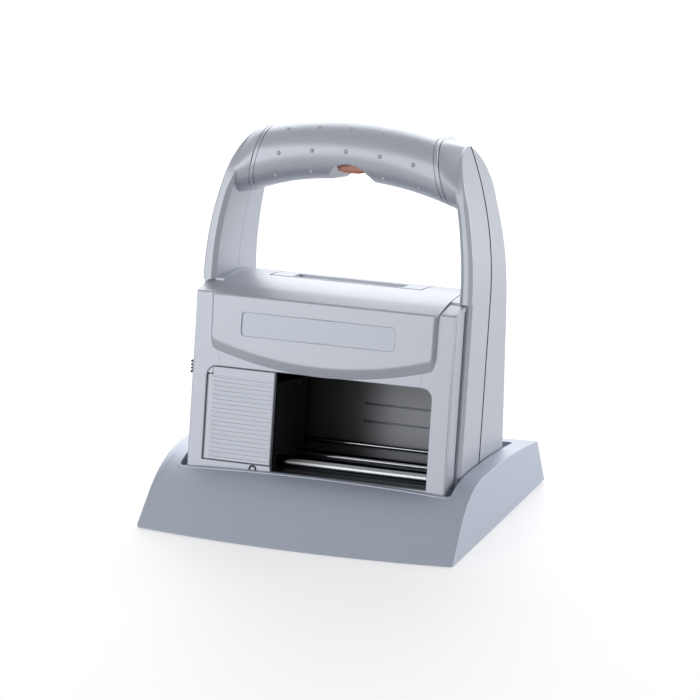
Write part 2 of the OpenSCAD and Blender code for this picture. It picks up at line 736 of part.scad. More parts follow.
// Sole: an open frame with gliding strips and the charge contacts
sole_hw = side_x - panel_t - 2 * sit;
sole_y0 = face_t + sit;
sole_y1 = back(sole_h + sole_t) - wall - 2 * sit;
bay_y0 = 8;
bay_y1 = 53;
bay_hw = chassis_hw - chassis_t - eps;
pad_x = 38;
pad_hw = 16;
front_pad = [0.5, 3.5];
back_pad = [8.5, 1.5];
module sole_frame() color("#2b2e33") dock() difference() {
  block([-sole_hw, sole_y0, sole_h], [sole_hw, sole_y1, sole_h + sole_t]);
  block([-bay_hw, bay_y0, 0], [bay_hw, bay_y1, far]);
  at_contacts() translate([0, 0, sole_h - eps]) cylinder(h = eps + contact_t, r = contact_r + sit);
}
module sole_pads() color("#17181b") dock() for (x = [-pad_x, pad_x]) {
  block([x - pad_hw, sole_y0 + front_pad[0], sole_h - pad_t], [x + pad_hw, sole_y0 + front_pad[1], sole_h]);
  block([x - pad_hw, sole_y1 - back_pad[0], sole_h - pad_t], [x + pad_hw, sole_y1 - back_pad[1], sole_h]);
}
module charge_contacts() color("#c9a860") dock()
  at_contacts() translate([0, 0, sole_h]) cylinder(h = contact_t, r = contact_r);

// Print trigger under the grip
trigger_out = 4.5;
trigger_over = 2;
trigger_low = scallop_top - trigger_out;
trigger_round = 30;
flange_hw = 12;
flange_t = 2;
flange_low = grip_h - core_r + core_wall + gap;
flange_top = flange_low + flange_t;
trigger_y0 = grip_y0 - trigger_over;
trigger_y1 = grip_y1 + trigger_over;
spring_y = seam_y - 5;
spring_r = 3;
spring_t = 0.7;
plunger_r = 1.2;
plunger_l = 2.5;
plunger_low = flange_top + trigger_travel + gap;
switch_low = plunger_low + plunger_l;
switch_hw = 8;
switch_hd = 4;
switch_top = grip_h + core_r - core_wall - gap - sit;
module trigger_button() color("#c67a62") dock() {
  intersection() {
    block([trigger_x - trigger_hw, trigger_y0, trigger_low],
      [trigger_x + trigger_hw, trigger_y1, flange_top]);
    rod_y(0, far, trigger_x, trigger_low + trigger_round, trigger_round);
  }
  block([-flange_hw, trigger_y0, flange_low], [flange_hw, trigger_y1, flange_top]);
}
module trigger_switch() color("#1f2125") dock() {
  block([-switch_hw, spring_y - switch_hd, switch_low], [switch_hw, spring_y + switch_hd, switch_top]);
  translate([0, spring_y, plunger_low]) cylinder(h = plunger_l + eps, r = plunger_r);
}
module trigger_spring() color("#a8adb3") dock() translate([0, spring_y, flange_top]) difference() {
  cylinder(h = switch_low - flange_top, r = spring_r);
  translate([0, 0, -eps]) cylinder(h = far, r = spring_r - spring_t);
}

// Slide switch on the left side strip
knob_groove = 0.8;
body_rim = 0.8;
module power_switch_knob() color("#23252a") dock() difference() {
  block([-face_hw - knob_out, switch_y - knob_hd, switch_h - knob_hh],
    [strip_t - face_hw - gap, switch_y + knob_hd, switch_h + knob_hh]);
  for (i = [-1:1]) translate([-face_hw - knob_out - eps, -eps, switch_h + knob_groove * (2 * i - 0.5)])
    cube([eps + knob_groove, far, knob_groove]);
}
module power_switch_body() color("#3a3d43") dock()
  block([strip_t - face_hw, switch_y - knob_hd - body_rim, switch_h - knob_hh - 2 * body_rim],
    [-chassis_hw, switch_y + knob_hd + body_rim, switch_h + knob_hh + switch_travel + 2 * body_rim]);

socket_l = 8;
socket_wall = 1;
socket_y1 = back(socket_h) - 1;
module data_socket() color("#2a2c31") dock() difference() {
  block([socket_x - socket_hw, socket_y1 - socket_l, socket_h - socket_hh],
    [socket_x + socket_hw, socket_y1, socket_h + socket_hh]);
  block([socket_x - socket_hw + socket_wall, socket_y1 - socket_l + 2 * socket_wall,
      socket_h - socket_hh + socket_wall],
    [socket_x + socket_hw - socket_wall, far, socket_h + socket_hh - socket_wall]);
}

// Chassis: side plates on the sole, a back panel and a deck over the print bay
deck_top = deck_h + chassis_t;
axle_r = 2;
shaft_r = 1;
module at_motor() translate([-pulley_x, pulley_y, 0]) children();
module at_idler() translate([pulley_x, pulley_y, 0]) children();
chassis_low = sole_h + sole_t;
chassis_y0 = 5;
bay_x = chassis_hw - chassis_t;
panel_y = 58.4;
panel_y1 = panel_y + chassis_t;
plate_top = crown(chassis_y0, wall + cheek_low) - 1;
rod_over = 0.4;
front_rod_h = chassis_low + rod_over + front_rod_r;
rear_rod_h = front_rod_h + 0.5;
scale_rod_y = 54;
scale_rod_h = front_rod_h + 6.4;
deck_hole_r = 3;
rail_h = [47.5, 56];
rail_x0 = 2;
rail_end = 6;
rail_hh = 0.6;
rail_out = 0.8;
module side_plate() difference() {
  block([bay_x, chassis_y0, chassis_low], [chassis_hw, panel_y1, plate_top]);
  rod_x(0, far, front_rod_y, front_rod_h, front_rod_r + press);
  rod_x(0, far, rear_rod_y, rear_rod_h, rear_rod_r + press);
  rod_x(0, far, scale_rod_y, scale_rod_h, scale_rod_r + press);
}
module chassis_right_plate() color("#6d7278") dock() side_plate();
module chassis_left_plate() color("#6d7278") dock() mirror([1, 0, 0]) side_plate();
module chassis_deck() color("#4a4e55") dock() difference() {
  block([-bay_x, chassis_y0, deck_h], [bay_x, panel_y1, deck_top]);
  at_motor() cylinder(h = far, r = deck_hole_r);
  at_idler() cylinder(h = far, r = axle_r + press);
}
module chassis_back_panel() color("#4c5057") dock() {
  block([sit - bay_x, panel_y, chassis_low], [bay_x - sit, panel_y1, deck_h]);
  for (h = rail_h) along_x(rail_x0, bay_x - rail_end)
    polygon([[panel_y, h - rail_hh], [panel_y - rail_out, h], [panel_y, h + rail_hh]]);
}
module guide_rod(y, h, r) color("#c9ccd0") dock() rod_x(-chassis_hw, chassis_hw, y, h, r);
module front_guide_rod() guide_rod(front_rod_y, front_rod_h, front_rod_r);
module rear_guide_rod() guide_rod(rear_rod_y, rear_rod_h, rear_rod_r);
module scale_rod() guide_rod(scale_rod_y, scale_rod_h, scale_rod_r);

// Carriage, drawn at its left rest
carriage_x1 = carriage_x0 + carriage_w;
carriage_y0 = 8.6;
carriage_y1 = 48.6;
carriage_low = sole_h + 0.8;
carriage_mid = 38;
belt_drop = 7.6;
belt_low = deck_h - belt_drop;
carriage_under = 6.4;
carriage_high = belt_low - carriage_under;
side_t = 2.2;
bush_l = 8;
bush_t = 1;
snout_in = 4;
snout_x0 = carriage_x0 + snout_in;
snout_x1 = carriage_x1 - snout_in;
snout_y0 = front_rod_y + front_rod_r + bush_t + 1.6;
snout_y1 = rear_rod_y - rear_rod_r - bush_t - 1.6;
hook_x0 = carriage_x0 + 8;
hook_x1 = carriage_x1 - 8;
latch_y = 38;
latch_drop = 3;
latch_h = carriage_high - latch_drop;
latch_r = 1.3;
latch_ht = 1.2;
flange_r = pulley_r + 0.9;
clamp_x0 = flange_r + 2 * gap - pulley_x;
clamp_w = 9;
clamp_x1 = clamp_x0 + clamp_w;
clamp_t = 2;
run_y = pulley_y - pulley_r;
clamp_y0 = run_y - belt_t / 2 - clamp_t;
clamp_low = belt_low - gap - 0.2;
module carriage_body() color("#1d1f23") dock() difference() {
  union() {
    block([carriage_x0, carriage_y0, carriage_low], [carriage_x1, carriage_y1, carriage_mid]);
    for (x = [carriage_x0, carriage_x1 - side_t])
      block([x, carriage_y0, carriage_mid - eps], [x + side_t, carriage_y1, carriage_high]);
    block([carriage_x0, carriage_y1 - side_t, carriage_mid - eps],
      [carriage_x1, carriage_y1, carriage_high + side_t]);
    block([clamp_x0, clamp_y0, carriage_high - 2 * side_t], [clamp_x1, carriage_y1, clamp_low]);
  }
  block([snout_x0, snout_y0, 0], [snout_x1, snout_y1, far]);
  rod_x(-far, far, front_rod_y, front_rod_h, front_rod_r + bush_t + press);
  rod_x(-far, far, rear_rod_y, rear_rod_h, rear_rod_r + bush_t + press);
  rod_x(-far, far, latch_y, latch_h, latch_r + run_fit);
}
module bushing(x, y, h, r) difference() {
  rod_x(x, x + bush_l, y, h, r + bush_t);
  rod_x(x - eps, x + bush_l + eps, y, h, r + run_fit);
}
module rod_bushings() color("#b08d57") dock()
  for (x = [carriage_x0, carriage_x1 - bush_l]) bushing(x, front_rod_y, front_rod_h, front_rod_r);
module rear_bushing() color("#b08d57") dock()
  bushing((carriage_x0 + carriage_x1 - bush_l) / 2, rear_rod_y, rear_rod_h, rear_rod_r);
module belt_clamp() color("#2c2f35") dock() difference() {
  block([clamp_x0, clamp_y0, clamp_low],
    [clamp_x1, run_y + belt_t / 2 + clamp_t, belt_low + belt_w + 2 * gap]);
  block([-far, run_y - belt_t / 2 - gap, belt_low - gap],
    [far, run_y + belt_t / 2 + gap, belt_low + belt_w + gap]);
}
head_board_t = 1;
plug_t = 1.4;
plug_low = carriage_mid + 8;
plug_h = 4;
module carriage_board() color("#2e6b45") dock() {
  block([snout_x0, carriage_y1, carriage_mid],
    [snout_x1, carriage_y1 + head_board_t, carriage_high - snout_in]);
  block([hook_x0, carriage_y1 + head_board_t, plug_low],
    [hook_x1, carriage_y1 + head_board_t + plug_t, plug_low + plug_h]);
}
cartridge_gap = 0.4;
cartridge_drop = 7;
cartridge_top = carriage_high - cartridge_drop;
cartridge_low = sole_h + 1;
cartridge_y0 = carriage_y0 + 3.4;
tab_y0 = carriage_y0 + 2.2;
tab_low = cartridge_top - 10;
tab_high = cartridge_top - 4;
nozzle_t = 0.4;
nozzle_in = [6, 2];
module ink_cartridge() color("#17191d") dock() {
  block([snout_x0 + cartridge_gap, snout_y0 + cartridge_gap, cartridge_low],
    [snout_x1 - cartridge_gap, snout_y1 - cartridge_gap, carriage_mid + eps]);
  block([carriage_x0 + side_t + cartridge_gap, cartridge_y0, carriage_mid + sit],
    [carriage_x1 - side_t - cartridge_gap, carriage_y1 - side_t - cartridge_gap, cartridge_top]);
  block([hook_x0, tab_y0, tab_low], [hook_x1, cartridge_y0 + eps, tab_high]);
}
module nozzle_plate() color("#c2a66a") dock()
  block([snout_x0 + nozzle_in[0], snout_y0 + nozzle_in[1], cartridge_low - nozzle_t],
    [snout_x1 - nozzle_in[0], snout_y1 - nozzle_in[1], cartridge_low]);
hook_y0 = carriage_y0 + 0.8;
module cartridge_latch() color("#3d7f6f") dock() {
  rod_x(carriage_x0 + gap, carriage_x1 - gap, latch_y, latch_h, latch_r);
  block([carriage_x0 + side_t + eps, hook_y0, latch_h - latch_ht],
    [carriage_x1 - side_t - eps, latch_y, latch_h + latch_ht]);
  block([hook_x0, hook_y0, tab_high + eps], [hook_x1, tab_y0 - 2 * sit, latch_h + latch_ht]);
}

// Drive: motor over the deck, belt under it
motor_nose = 2;
motor_room = 8.5;
motor_l = crown(pulley_y, wall) - motor_room - motor_nose - deck_top;
rim_t = 1;
rim_low = belt_low - gap - rim_t;
rim_top = belt_low + belt_w + gap;
axle_head_r = 3;
axle_head_t = 1.4;
module drive_motor() color("#8b9096") dock() at_motor() {
  translate([0, 0, deck_top]) cylinder(h = motor_l, r = motor_r);
  translate([0, 0, rim_low]) cylinder(h = deck_top + eps - rim_low, r = shaft_r);
  translate([0, 0, deck_top + motor_l]) cylinder(h = motor_nose, r = deck_hole_r);
}
module pulley(bore) difference() {
  union() {
    translate([0, 0, rim_low]) cylinder(h = rim_top + rim_t - rim_low, r = pulley_r - belt_t / 2 - gap);
    translate([0, 0, rim_low]) cylinder(h = rim_t, r = flange_r);
    translate([0, 0, rim_top]) cylinder(h = rim_t, r = flange_r);
  }
  cylinder(h = far, r = bore);
}
module motor_pulley() color("#b9bdc2") dock() at_motor() pulley(shaft_r + run_fit);
module idler_pulley() color("#b9bdc2") dock() at_idler() pulley(axle_r + run_fit);
module idler_axle() color("#9ea3a9") dock() at_idler() {
  translate([0, 0, rim_low - gap - eps]) cylinder(h = deck_top + 2 * eps - rim_low + gap, r = axle_r);
  translate([0, 0, rim_low - gap - axle_head_t]) cylinder(h = axle_head_t, r = axle_head_r);
  translate([0, 0, deck_top]) cylinder(h = axle_head_t, r = axle_head_r);
}
module belt_loop(r) {
  translate([-pulley_x, pulley_y]) circle(r = r);
  translate([pulley_x, pulley_y]) circle(r = r);
  translate([-pulley_x, pulley_y - r]) square([2 * pulley_x, 2 * r]);
}
module timing_belt() color("#26282c") dock() translate([0, 0, belt_low]) linear_extrude(belt_w) difference() {
  belt_loop(pulley_r + belt_t / 2);
  belt_loop(pulley_r - belt_t / 2);
}

// Over the deck: board, battery tray and battery
tray_t = 1.8;
tray_over = 2;
tray_front = 3;
tray_back = 1.5;
tray_under = 4;
tray_x0 = lid_x0 - tray_over;
tray_x1 = lid_x1 + tray_over;
tray_y0 = lid_y0 - tray_front;
tray_y1 = lid_hinge_y - tray_back;
tray_top = lid_hinge_h - tray_under;
board_hw = 50;
board_y0 = 11;
board_room = 6.4;
board_top = crown(board_y0, wall) - board_room;
board_mid = (deck_top + board_top) / 2;
// In a row on the board: the processor, a memory chip and the head's plug
chip_step = 28;
cpu_w = 8;
cpu_t = 1.8;
memory_w = 7;
memory_t = 1.4;
head_plug_w = 6;
head_plug_t = 3.4;
module on_board(x, w, t)
  translate([x - w / 2, board_y0 + board_t, board_mid - w / 2]) cube([w, t, w]);
module main_circuit_board() color("#2e6b45") dock() {
  block([-board_hw, board_y0, deck_top], [board_hw, board_y0 + board_t, board_top]);
  on_board(-chip_step, cpu_w, cpu_t);
  on_board(0, memory_w, memory_t);
  on_board(chip_step, head_plug_w, head_plug_t);
}
module battery_tray() color("#33363c") dock() difference() {
  block([tray_x0, tray_y0, deck_top], [tray_x1, tray_y1, tray_top]);
  block([tray_x0 + tray_t, tray_y0 + tray_t, deck_top + tray_t], [tray_x1 - tray_t, tray_y1 - tray_t, far]);
}
cell_gap = 0.8;
blade_t = 1.1;
blade_w = 4;
blade_up = 8;
blade_low = deck_top + blade_up;
blade_h = 10;
blade_step = 10;
module battery_pack() color("#3b5f8a") dock()
  block([tray_x0 + tray_t + blade_t + sit, tray_y0 + tray_t + cell_gap, deck_top + tray_t],
    [tray_x1 - tray_t - cell_gap, tray_y1 - tray_t - cell_gap, tray_top - eps]);
module battery_contacts() color("#c9a860") dock() for (y = [1, 2] * blade_step + [tray_y0, tray_y0])
  block([tray_x0 + tray_t, y, blade_low], [tray_x0 + tray_t + blade_t, y + blade_w, blade_low + blade_h]);

cradle_shell();
cradle_base_plate();
cradle_feet();
cradle_screws();
cradle_circuit_board();
contact_block();
charge_pin_left();
charge_pin_right();
power_jack();
front_cover();
hood();
badge_plate();
handle_frame_front();
handle_frame_rear();
grip_sleeve();
sole_frame();
sole_pads();
cartridge_door();
door_hinge_pin();
battery_lid();
lid_hinge_pin();
housing_screws();
trigger_button();
trigger_spring();
trigger_switch();
power_switch_knob();
power_switch_body();
data_socket();
charge_contacts();
chassis_left_plate();
chassis_right_plate();
chassis_deck();
chassis_back_panel();
front_guide_rod();
rear_guide_rod();
scale_rod();
carriage_body();
rod_bushings();
rear_bushing();
belt_clamp();
carriage_board();
ink_cartridge();
nozzle_plate();
cartridge_latch();
drive_motor();
motor_pulley();
idler_pulley();
idler_axle();
timing_belt();
main_circuit_board();
battery_tray();
battery_pack();
battery_contacts();
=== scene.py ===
# Handheld inkjet printer that stands in its charging cradle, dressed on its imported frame.
import json

import bmesh
import bpy
import numpy as np
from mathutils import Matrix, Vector


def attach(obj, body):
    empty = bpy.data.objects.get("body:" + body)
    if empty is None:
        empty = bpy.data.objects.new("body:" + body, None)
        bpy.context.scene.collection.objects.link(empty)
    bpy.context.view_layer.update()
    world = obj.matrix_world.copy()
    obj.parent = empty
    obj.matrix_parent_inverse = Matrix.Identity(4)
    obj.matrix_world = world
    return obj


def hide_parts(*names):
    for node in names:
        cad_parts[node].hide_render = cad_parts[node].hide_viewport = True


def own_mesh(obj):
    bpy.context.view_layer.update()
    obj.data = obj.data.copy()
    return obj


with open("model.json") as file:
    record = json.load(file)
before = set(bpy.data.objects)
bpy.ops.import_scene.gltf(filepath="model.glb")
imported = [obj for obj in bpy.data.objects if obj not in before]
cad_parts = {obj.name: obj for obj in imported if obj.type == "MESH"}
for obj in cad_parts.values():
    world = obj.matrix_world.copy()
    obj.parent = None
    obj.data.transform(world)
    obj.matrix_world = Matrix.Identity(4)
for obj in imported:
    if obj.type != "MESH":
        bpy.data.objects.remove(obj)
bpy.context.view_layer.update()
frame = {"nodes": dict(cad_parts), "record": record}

# Studio
# A white sweep under three soft lamps: a broad one low from the front left, one from behind and above,
# and one from the right, a little behind. The floor is matt board and takes the object's shadow.
MM = 0.001
# points closer than this become one
MERGE = 0.002 * MM
LAMP_AIM, LAMP_AWAY = Vector((0, 0, 80)) * MM, 1300 * MM
CAMERA_AIM, CAMERA_AWAY = Vector((2.969, 2.935, 77.801)) * MM, 1902.08 * MM
CAMERA_TURN, CAMERA_RISE = 20.854, 16.585
# shares of full white: what the backdrop gives the object, how it shows in gloss, and the floor's glow
FILL, MIRRORED, FLOOR_GLOW = 0.26, 0.8, 0.62
FLOOR = 6000.0
scene = bpy.context.scene
scene.view_settings.view_transform = "Standard"


def linear(code):
    """sRGB hex to linear light: a straight foot below 0.04045 and a power of 2.4 above it."""
    c = np.array([int(code[i:i + 2], 16) for i in (1, 3, 5)]) / 255
    c = np.where(c < 0.04045, c / 12.92, ((c + 0.055) / 1.055) ** 2.4)
    return (*c.tolist(), 1.0)


def fill(node, **settings):
    """Sets a node up. A setting named for a property is set there, any other goes to the input of that
    name, or of that number after an underscore, and a socket given as its value is linked."""
    for key, value in settings.items():
        if key in node.bl_rna.properties:
            setattr(node, key, value)
            continue
        socket = node.inputs[int(key[1:]) if key[1:].isdigit() else key.replace("_", " ")]
        if isinstance(value, bpy.types.NodeSocket):
            node.id_data.links.new(value, socket)
        else:
            socket.default_value = value
    return node


def add(tree, kind, **settings):
    """Adds one node to a tree and sets it up."""
    return fill(tree.nodes.new(kind), **settings)


def new_material(name):
    """A material with its shader, and where the surface lies on the object."""
    material = bpy.data.materials.new(name)
    material.use_nodes = True
    tree = material.node_tree
    place = add(tree, "ShaderNodeTexCoord").outputs["Object"]
    return material, tree, tree.nodes["Principled BSDF"], place


def shown(tree, mirrored):
    """How far a white surface shows as such: fully to the camera and through glass, and by a share in
    what mirrors it. It is the greatest of the three."""
    ray = add(tree, "ShaderNodeLightPath").outputs
    direct = add(tree, "ShaderNodeMath", operation="MAXIMUM",
                 _0=ray["Is Camera Ray"], _1=ray["Is Transmission Ray"])
    mirror = add(tree, "ShaderNodeMath", operation="MULTIPLY", _0=ray["Is Glossy Ray"], _1=mirrored)
    return add(tree, "ShaderNodeMath", operation="MAXIMUM",
               _0=direct.outputs[0], _1=mirror.outputs[0]).outputs[0]


def stand(obj, aim, azimuth, elevation, distance):
    """Stands a lamp or the camera off a point, looking at it. The way there is a point of the unit sphere,
    by its azimuth, 0 being the front and 90 the right, and its elevation, in degrees."""
    a, e = np.radians([azimuth, elevation])
    way = Vector((np.sin(a) * np.cos(e), -np.cos(a) * np.cos(e), np.sin(e)))
    obj.location = aim + way * distance
    obj.rotation_euler = way.to_track_quat("Z", "Y").to_euler()
    scene.collection.objects.link(obj)


# each lamp's azimuth, elevation, width in metres and watts
LAMPS = {"front_left_softbox": (-30, 8, 0.9, 6.0), "back_softbox": (-158, 32, 1.1, 10.0),
         "right_strip": (122, 12, 0.7, 8.4)}
for name, (azimuth, elevation, width, watts) in LAMPS.items():
    light = bpy.data.lights.new(name, "AREA")
    light.size, light.energy = width, watts
    stand(bpy.data.objects.new(name, light), LAMP_AIM, azimuth, elevation, LAMP_AWAY)

world = bpy.data.worlds.new("studio")
world.use_nodes = True
scene.world = world
sky = world.node_tree
level = add(sky, "ShaderNodeMix", Factor=shown(sky, MIRRORED), _2=FILL, _3=1.0)
fill(sky.nodes["Background"], Strength=level.outputs[0], Color=linear("#ffffff"))

camera = bpy.data.objects.new("camera", bpy.data.cameras.new("camera"))
camera.data.lens, camera.data.sensor_width = 205.714, 36
camera.data.clip_end = 20
stand(camera, CAMERA_AIM, CAMERA_TURN, CAMERA_RISE, CAMERA_AWAY)
scene.camera = camera


def shape(name, *grids):
    """Mesh of one or more grids of points in millimetres. Neighbours in a grid join in quads, a grid may
    come with a mask of the quads to keep, equal points merge, and the faces are turned outwards."""
    points, quads, start = [], [], 0
    for grid in grids:
        grid, keep = grid if isinstance(grid, tuple) else (grid, None)
        n = np.arange(grid[..., 0].size).reshape(grid.shape[:2]) + start
        quad = np.stack([n[:-1, :-1], n[1:, :-1], n[1:, 1:], n[:-1, 1:]], -1)
        quads.append(quad.reshape(-1, 4) if keep is None else quad[keep])
        points.append(grid.reshape(-1, 3))
        start += n.size
    mesh = bpy.data.meshes.new(name)
    mesh.from_pydata(np.concatenate(points) * MM, [], np.concatenate(quads).tolist())
    build = bmesh.new()
    build.from_mesh(mesh)
    bmesh.ops.remove_doubles(build, verts=build.verts, dist=MERGE)
    bmesh.ops.recalc_face_normals(build, faces=build.faces)
    build.to_mesh(mesh)
    build.free()
    mesh.polygons.foreach_set("use_smooth", np.ones(len(mesh.polygons), bool))
    obj = bpy.data.objects.new(name, mesh)
    scene.collection.objects.link(obj)
    return obj


def clouded(tree, shader, place, cloud_mm, dark, light, detail=2.0):
    """Gives a finish its colour: two near tones, mixed by soft clouds of noise of a size in millimetres."""
    cloud = add(tree, "ShaderNodeTexNoise", Vector=place, Scale=1 / (cloud_mm * MM), Detail=detail)
    tone = add(tree, "ShaderNodeMix", data_type="RGBA", Factor=cloud.outputs["Fac"],
               _6=linear(dark), _7=linear(light))
    fill(shader, Base_Color=tone.outputs[2])


reach = np.linspace(-FLOOR, FLOOR, 3)
floor_x, floor_y = np.meshgrid(reach, reach, indexing="ij")
floor = shape("studio_floor", np.stack([floor_x, floor_y, 0 * floor_x], -1))
# matt board: a dull and even white, which glows to the eye so that it runs into the backdrop
board_white, tree, shader, place = new_material("matt_white_board")
clouded(tree, shader, place, 8, "#b0b0b4", "#b6b6ba")
glow = add(tree, "ShaderNodeMath", operation="MULTIPLY", _0=shown(tree, 1.0), _1=FLOOR_GLOW)
fill(shader, Roughness=0.6, Specular_IOR_Level=0.3, Emission_Color=linear("#ffffff"),
     Emission_Strength=glow.outputs[0])
floor.data.materials.append(board_white)

# Cradle
# One ABS moulding, lacquered blue-grey with a fine metallic fleck over an eroded skin. Its ramp bows
# out at the front and rolls over into a rim that falls slowly to the back; the pocket leans with the
# printer. It is screwed to a base plate from below.
HALF_W, HALF_D, FOOT, RIM = 79.2, 70.85, 1.2, 29.0
# the bow of the front line, which has died out at BOW_END
BOW_R, BOW_END = 534.53, 10.0
BOW_Y = BOW_R - HALF_D
# the section over the middle: a ramp, the nose's arc up to the crest and the tail's arc behind it
NOSE_R, TAIL_R = 50.0, 478.0
RAMP_END = RIM - NOSE_R * (1 - np.sqrt(0.5)) - FOOT - HALF_D
CREST = RAMP_END + NOSE_R * np.sqrt(0.5)
# how far the walls lean in over the rim's height, at the back from DRAFT_START on
SIDE_DRAFT, BACK_DRAFT, DRAFT_START = 1.8, 10.0, -20.0
# corners of the plan, least height of the front wall, how far the skirt clears the desk, and the wall
PLAN_R, LIP, SKIRT, CRADLE_WALL = 1.2, 0.05, 0.6, 1.8
POCKET_X, POCKET_FRONT, POCKET_FLOOR, POCKET_END, POCKET_R = 68.3, -0.7, 23.5, 54.14, 2.0
# radii where the pocket's floor meets its wall, round its rim and along the outer edge
FLOOR_R, RIM_R, EDGE_ROLL = 1.0, 0.25, 0.7
# the charger's inlet, no higher than a share of the wall
INLET_X, INLET_TOP, INLET_SHARE = (45.6, 34.9), 13.3, 0.6
# where the printer's front plane would meet the desk, and how far it leans back
FRONT_Y, LEAN = -41.65, np.radians(10.5)
SIN, COS = np.sin(LEAN), np.cos(LEAN)


def docked(x, d, h):
    """From the printer's own frame to the desk's: x across, d back from its front plane, h up along it.
    The plane leans back 10.5 degrees about the line where it would meet the desk."""
    x, d, h = np.broadcast_arrays(x, d, h)
    return np.stack([x, FRONT_Y + d * COS + h * SIN, h * COS - d * SIN], -1)


def rounded(corners, radii, steps=6, closed=False):
    """A section's corners, each an array of points, with every corner turned into an arc of steps + 1
    points. The arc is a rational quadratic from one tangent point to the other, weighted by the sine of
    half the corner's angle, which makes it a circle. It takes at most half of either side."""
    p = np.stack(np.broadcast_arrays(*[np.asarray(c, float) for c in corners]))
    a, b = np.roll(p, 1, 0) - p, np.roll(p, -1, 0) - p
    la, lb = np.linalg.norm(a, axis=-1, keepdims=True), np.linalg.norm(b, axis=-1, keepdims=True)
    a, b = a / np.maximum(la, 1e-9), b / np.maximum(lb, 1e-9)
    turn = np.clip((a * b).sum(-1, keepdims=True), -0.999999, 0.999999)
    r = np.stack([np.broadcast_to(q, p.shape[1:-1]) for q in radii])[..., None]
    t = np.minimum(r * np.sqrt((1 + turn) / (1 - turn)), np.minimum(la, lb) / 2)
    if not closed:
        t[[0, -1]] = 0
    s = np.linspace(0, 1, steps + 1).reshape(1, -1, *[1] * (p.ndim - 1))
    c0, c1, c2 = (1 - s) ** 2, 2 * s * (1 - s) * np.sqrt((1 - turn) / 2)[:, None], s ** 2
    curve = (c0 * (p + a * t)[:, None] + c1 * p[:, None] + c2 * (p + b * t)[:, None]) / (c0 + c1 + c2)
    return curve.reshape(-1, *p.shape[1:])


def looped(grid, axis=0):
    """A grid closed on itself: its first line follows its last."""
    return np.concatenate([grid, np.take(grid, [0], axis)], axis)


def ring(x, y, radius, sides, steps=6):
    """Loop round a rectangle between two x and two y: arcs at its corners, and points along each side at
    that side's own fractions."""
    corners = [(x[0], y[0]), (x[1], y[0]), (x[1], y[1]), (x[0], y[1])]
    arcs = rounded(corners, [radius] * 4, steps, closed=True).reshape(4, steps + 1, 2)
    legs = zip(arcs, np.roll(arcs, -1, 0), sides)
    return np.concatenate([line for arc, after, f in legs
                           for line in (arc, arc[-1] + (after[0] - arc[-1]) * f[:, None])])


def hump(x, y):
    """Height of the cradle's top at a place: its section, read at the depth behind the bowed front. The
    section is a 45 degree ramp, an arc over the nose and a long arc down to the back."""
    p = BOW_Y - np.hypot(x, BOW_Y - y)
    nose = RIM - NOSE_R + np.sqrt(np.maximum(NOSE_R ** 2 - (p - CREST) ** 2, 0))
    tail = RIM - TAIL_R + np.sqrt(TAIL_R ** 2 - (p - CREST) ** 2)
    return np.where(p < RAMP_END, FOOT + p + HALF_D, np.where(p < CREST, nose, tail))


# the back line has points at both ends of the charger's inlet
back_x = np.concatenate([np.linspace(72, 50, 5), INLET_X, np.linspace(30, -72, 18)])
flank = np.linspace(0, 1, 36)[1:-1]
sides = [np.linspace(0, 1, 40)[1:-1], flank, (HALF_W - PLAN_R - back_x) / (2 * HALF_W - 2 * PLAN_R), flank]
foot_x, plan_y = ring((-HALF_W, HALF_W), (LIP - HALF_D, HALF_D), PLAN_R, sides).T
bow = BOW_R - LIP - np.sqrt((BOW_R - LIP) ** 2 - foot_x ** 2)
foot_y = plan_y + bow * np.clip((BOW_END - plan_y) / (BOW_END + HALF_D - LIP), 0, 1)
# the walls lean in as they rise, so their upper edge is found by turns with the height of the top there
edge_z = np.full(len(foot_x), 20.0)
for _ in range(30):
    rise = (edge_z - FOOT) / RIM
    edge_x = foot_x * (1 - SIDE_DRAFT / HALF_W * rise)
    edge_y = foot_y - BACK_DRAFT * rise * np.clip((foot_y - DRAFT_START) / (HALF_D - DRAFT_START), 0, 1)
    edge_z = np.maximum(hump(edge_x, edge_y), FOOT + LIP)
# so is the pocket's front rim, where its leaning wall comes out of the top
floor_end = (POCKET_END - FRONT_Y - POCKET_FLOOR * SIN) / COS
pocket_x, pocket_d = ring((-POCKET_X, POCKET_X), (POCKET_FRONT, floor_end), POCKET_R, sides).T
share = (pocket_d - POCKET_FRONT) / (floor_end - POCKET_FRONT)
rim_z = np.full(len(pocket_x), 27.0)
for _ in range(30):
    front_rim = FRONT_Y + POCKET_FRONT * COS + (rim_z + POCKET_FRONT * SIN) / COS * SIN
    rim_z = hump(pocket_x, front_rim)
rim_y = front_rim * (1 - share) + POCKET_END * share
across = [(pocket_x * (1 - f) + edge_x * f, rim_y * (1 - f) + edge_y * f)
          for f in (0, 0.04, 0.09, 0.15, 0.22, 0.3, 0.39, 0.5, 0.64)]
inlet_z = np.minimum(INLET_TOP, FOOT + INLET_SHARE * (edge_z - FOOT))
drop = (edge_z - inlet_z) / (edge_z - FOOT)
skirt_z = SKIRT + (FOOT - SKIRT) * np.clip(foot_y / HALF_D, 0, 1)
section = [docked(0 * pocket_x, floor_end / 2, POCKET_FLOOR), docked(pocket_x, pocket_d, POCKET_FLOOR),
           *[np.stack([x, y, hump(x, y)], -1) for x, y in across], np.stack([edge_x, edge_y, edge_z], -1),
           np.stack([edge_x + (foot_x - edge_x) * drop, edge_y + (foot_y - edge_y) * drop, inlet_z], -1),
           np.stack([foot_x, foot_y, skirt_z], -1)]
radii = [0, FLOOR_R, RIM_R, *[0] * (len(across) - 1), EDGE_ROLL, 0, 0]
ARC_STEPS = 5
cradle = looped(rounded(section, radii, ARC_STEPS), 1)
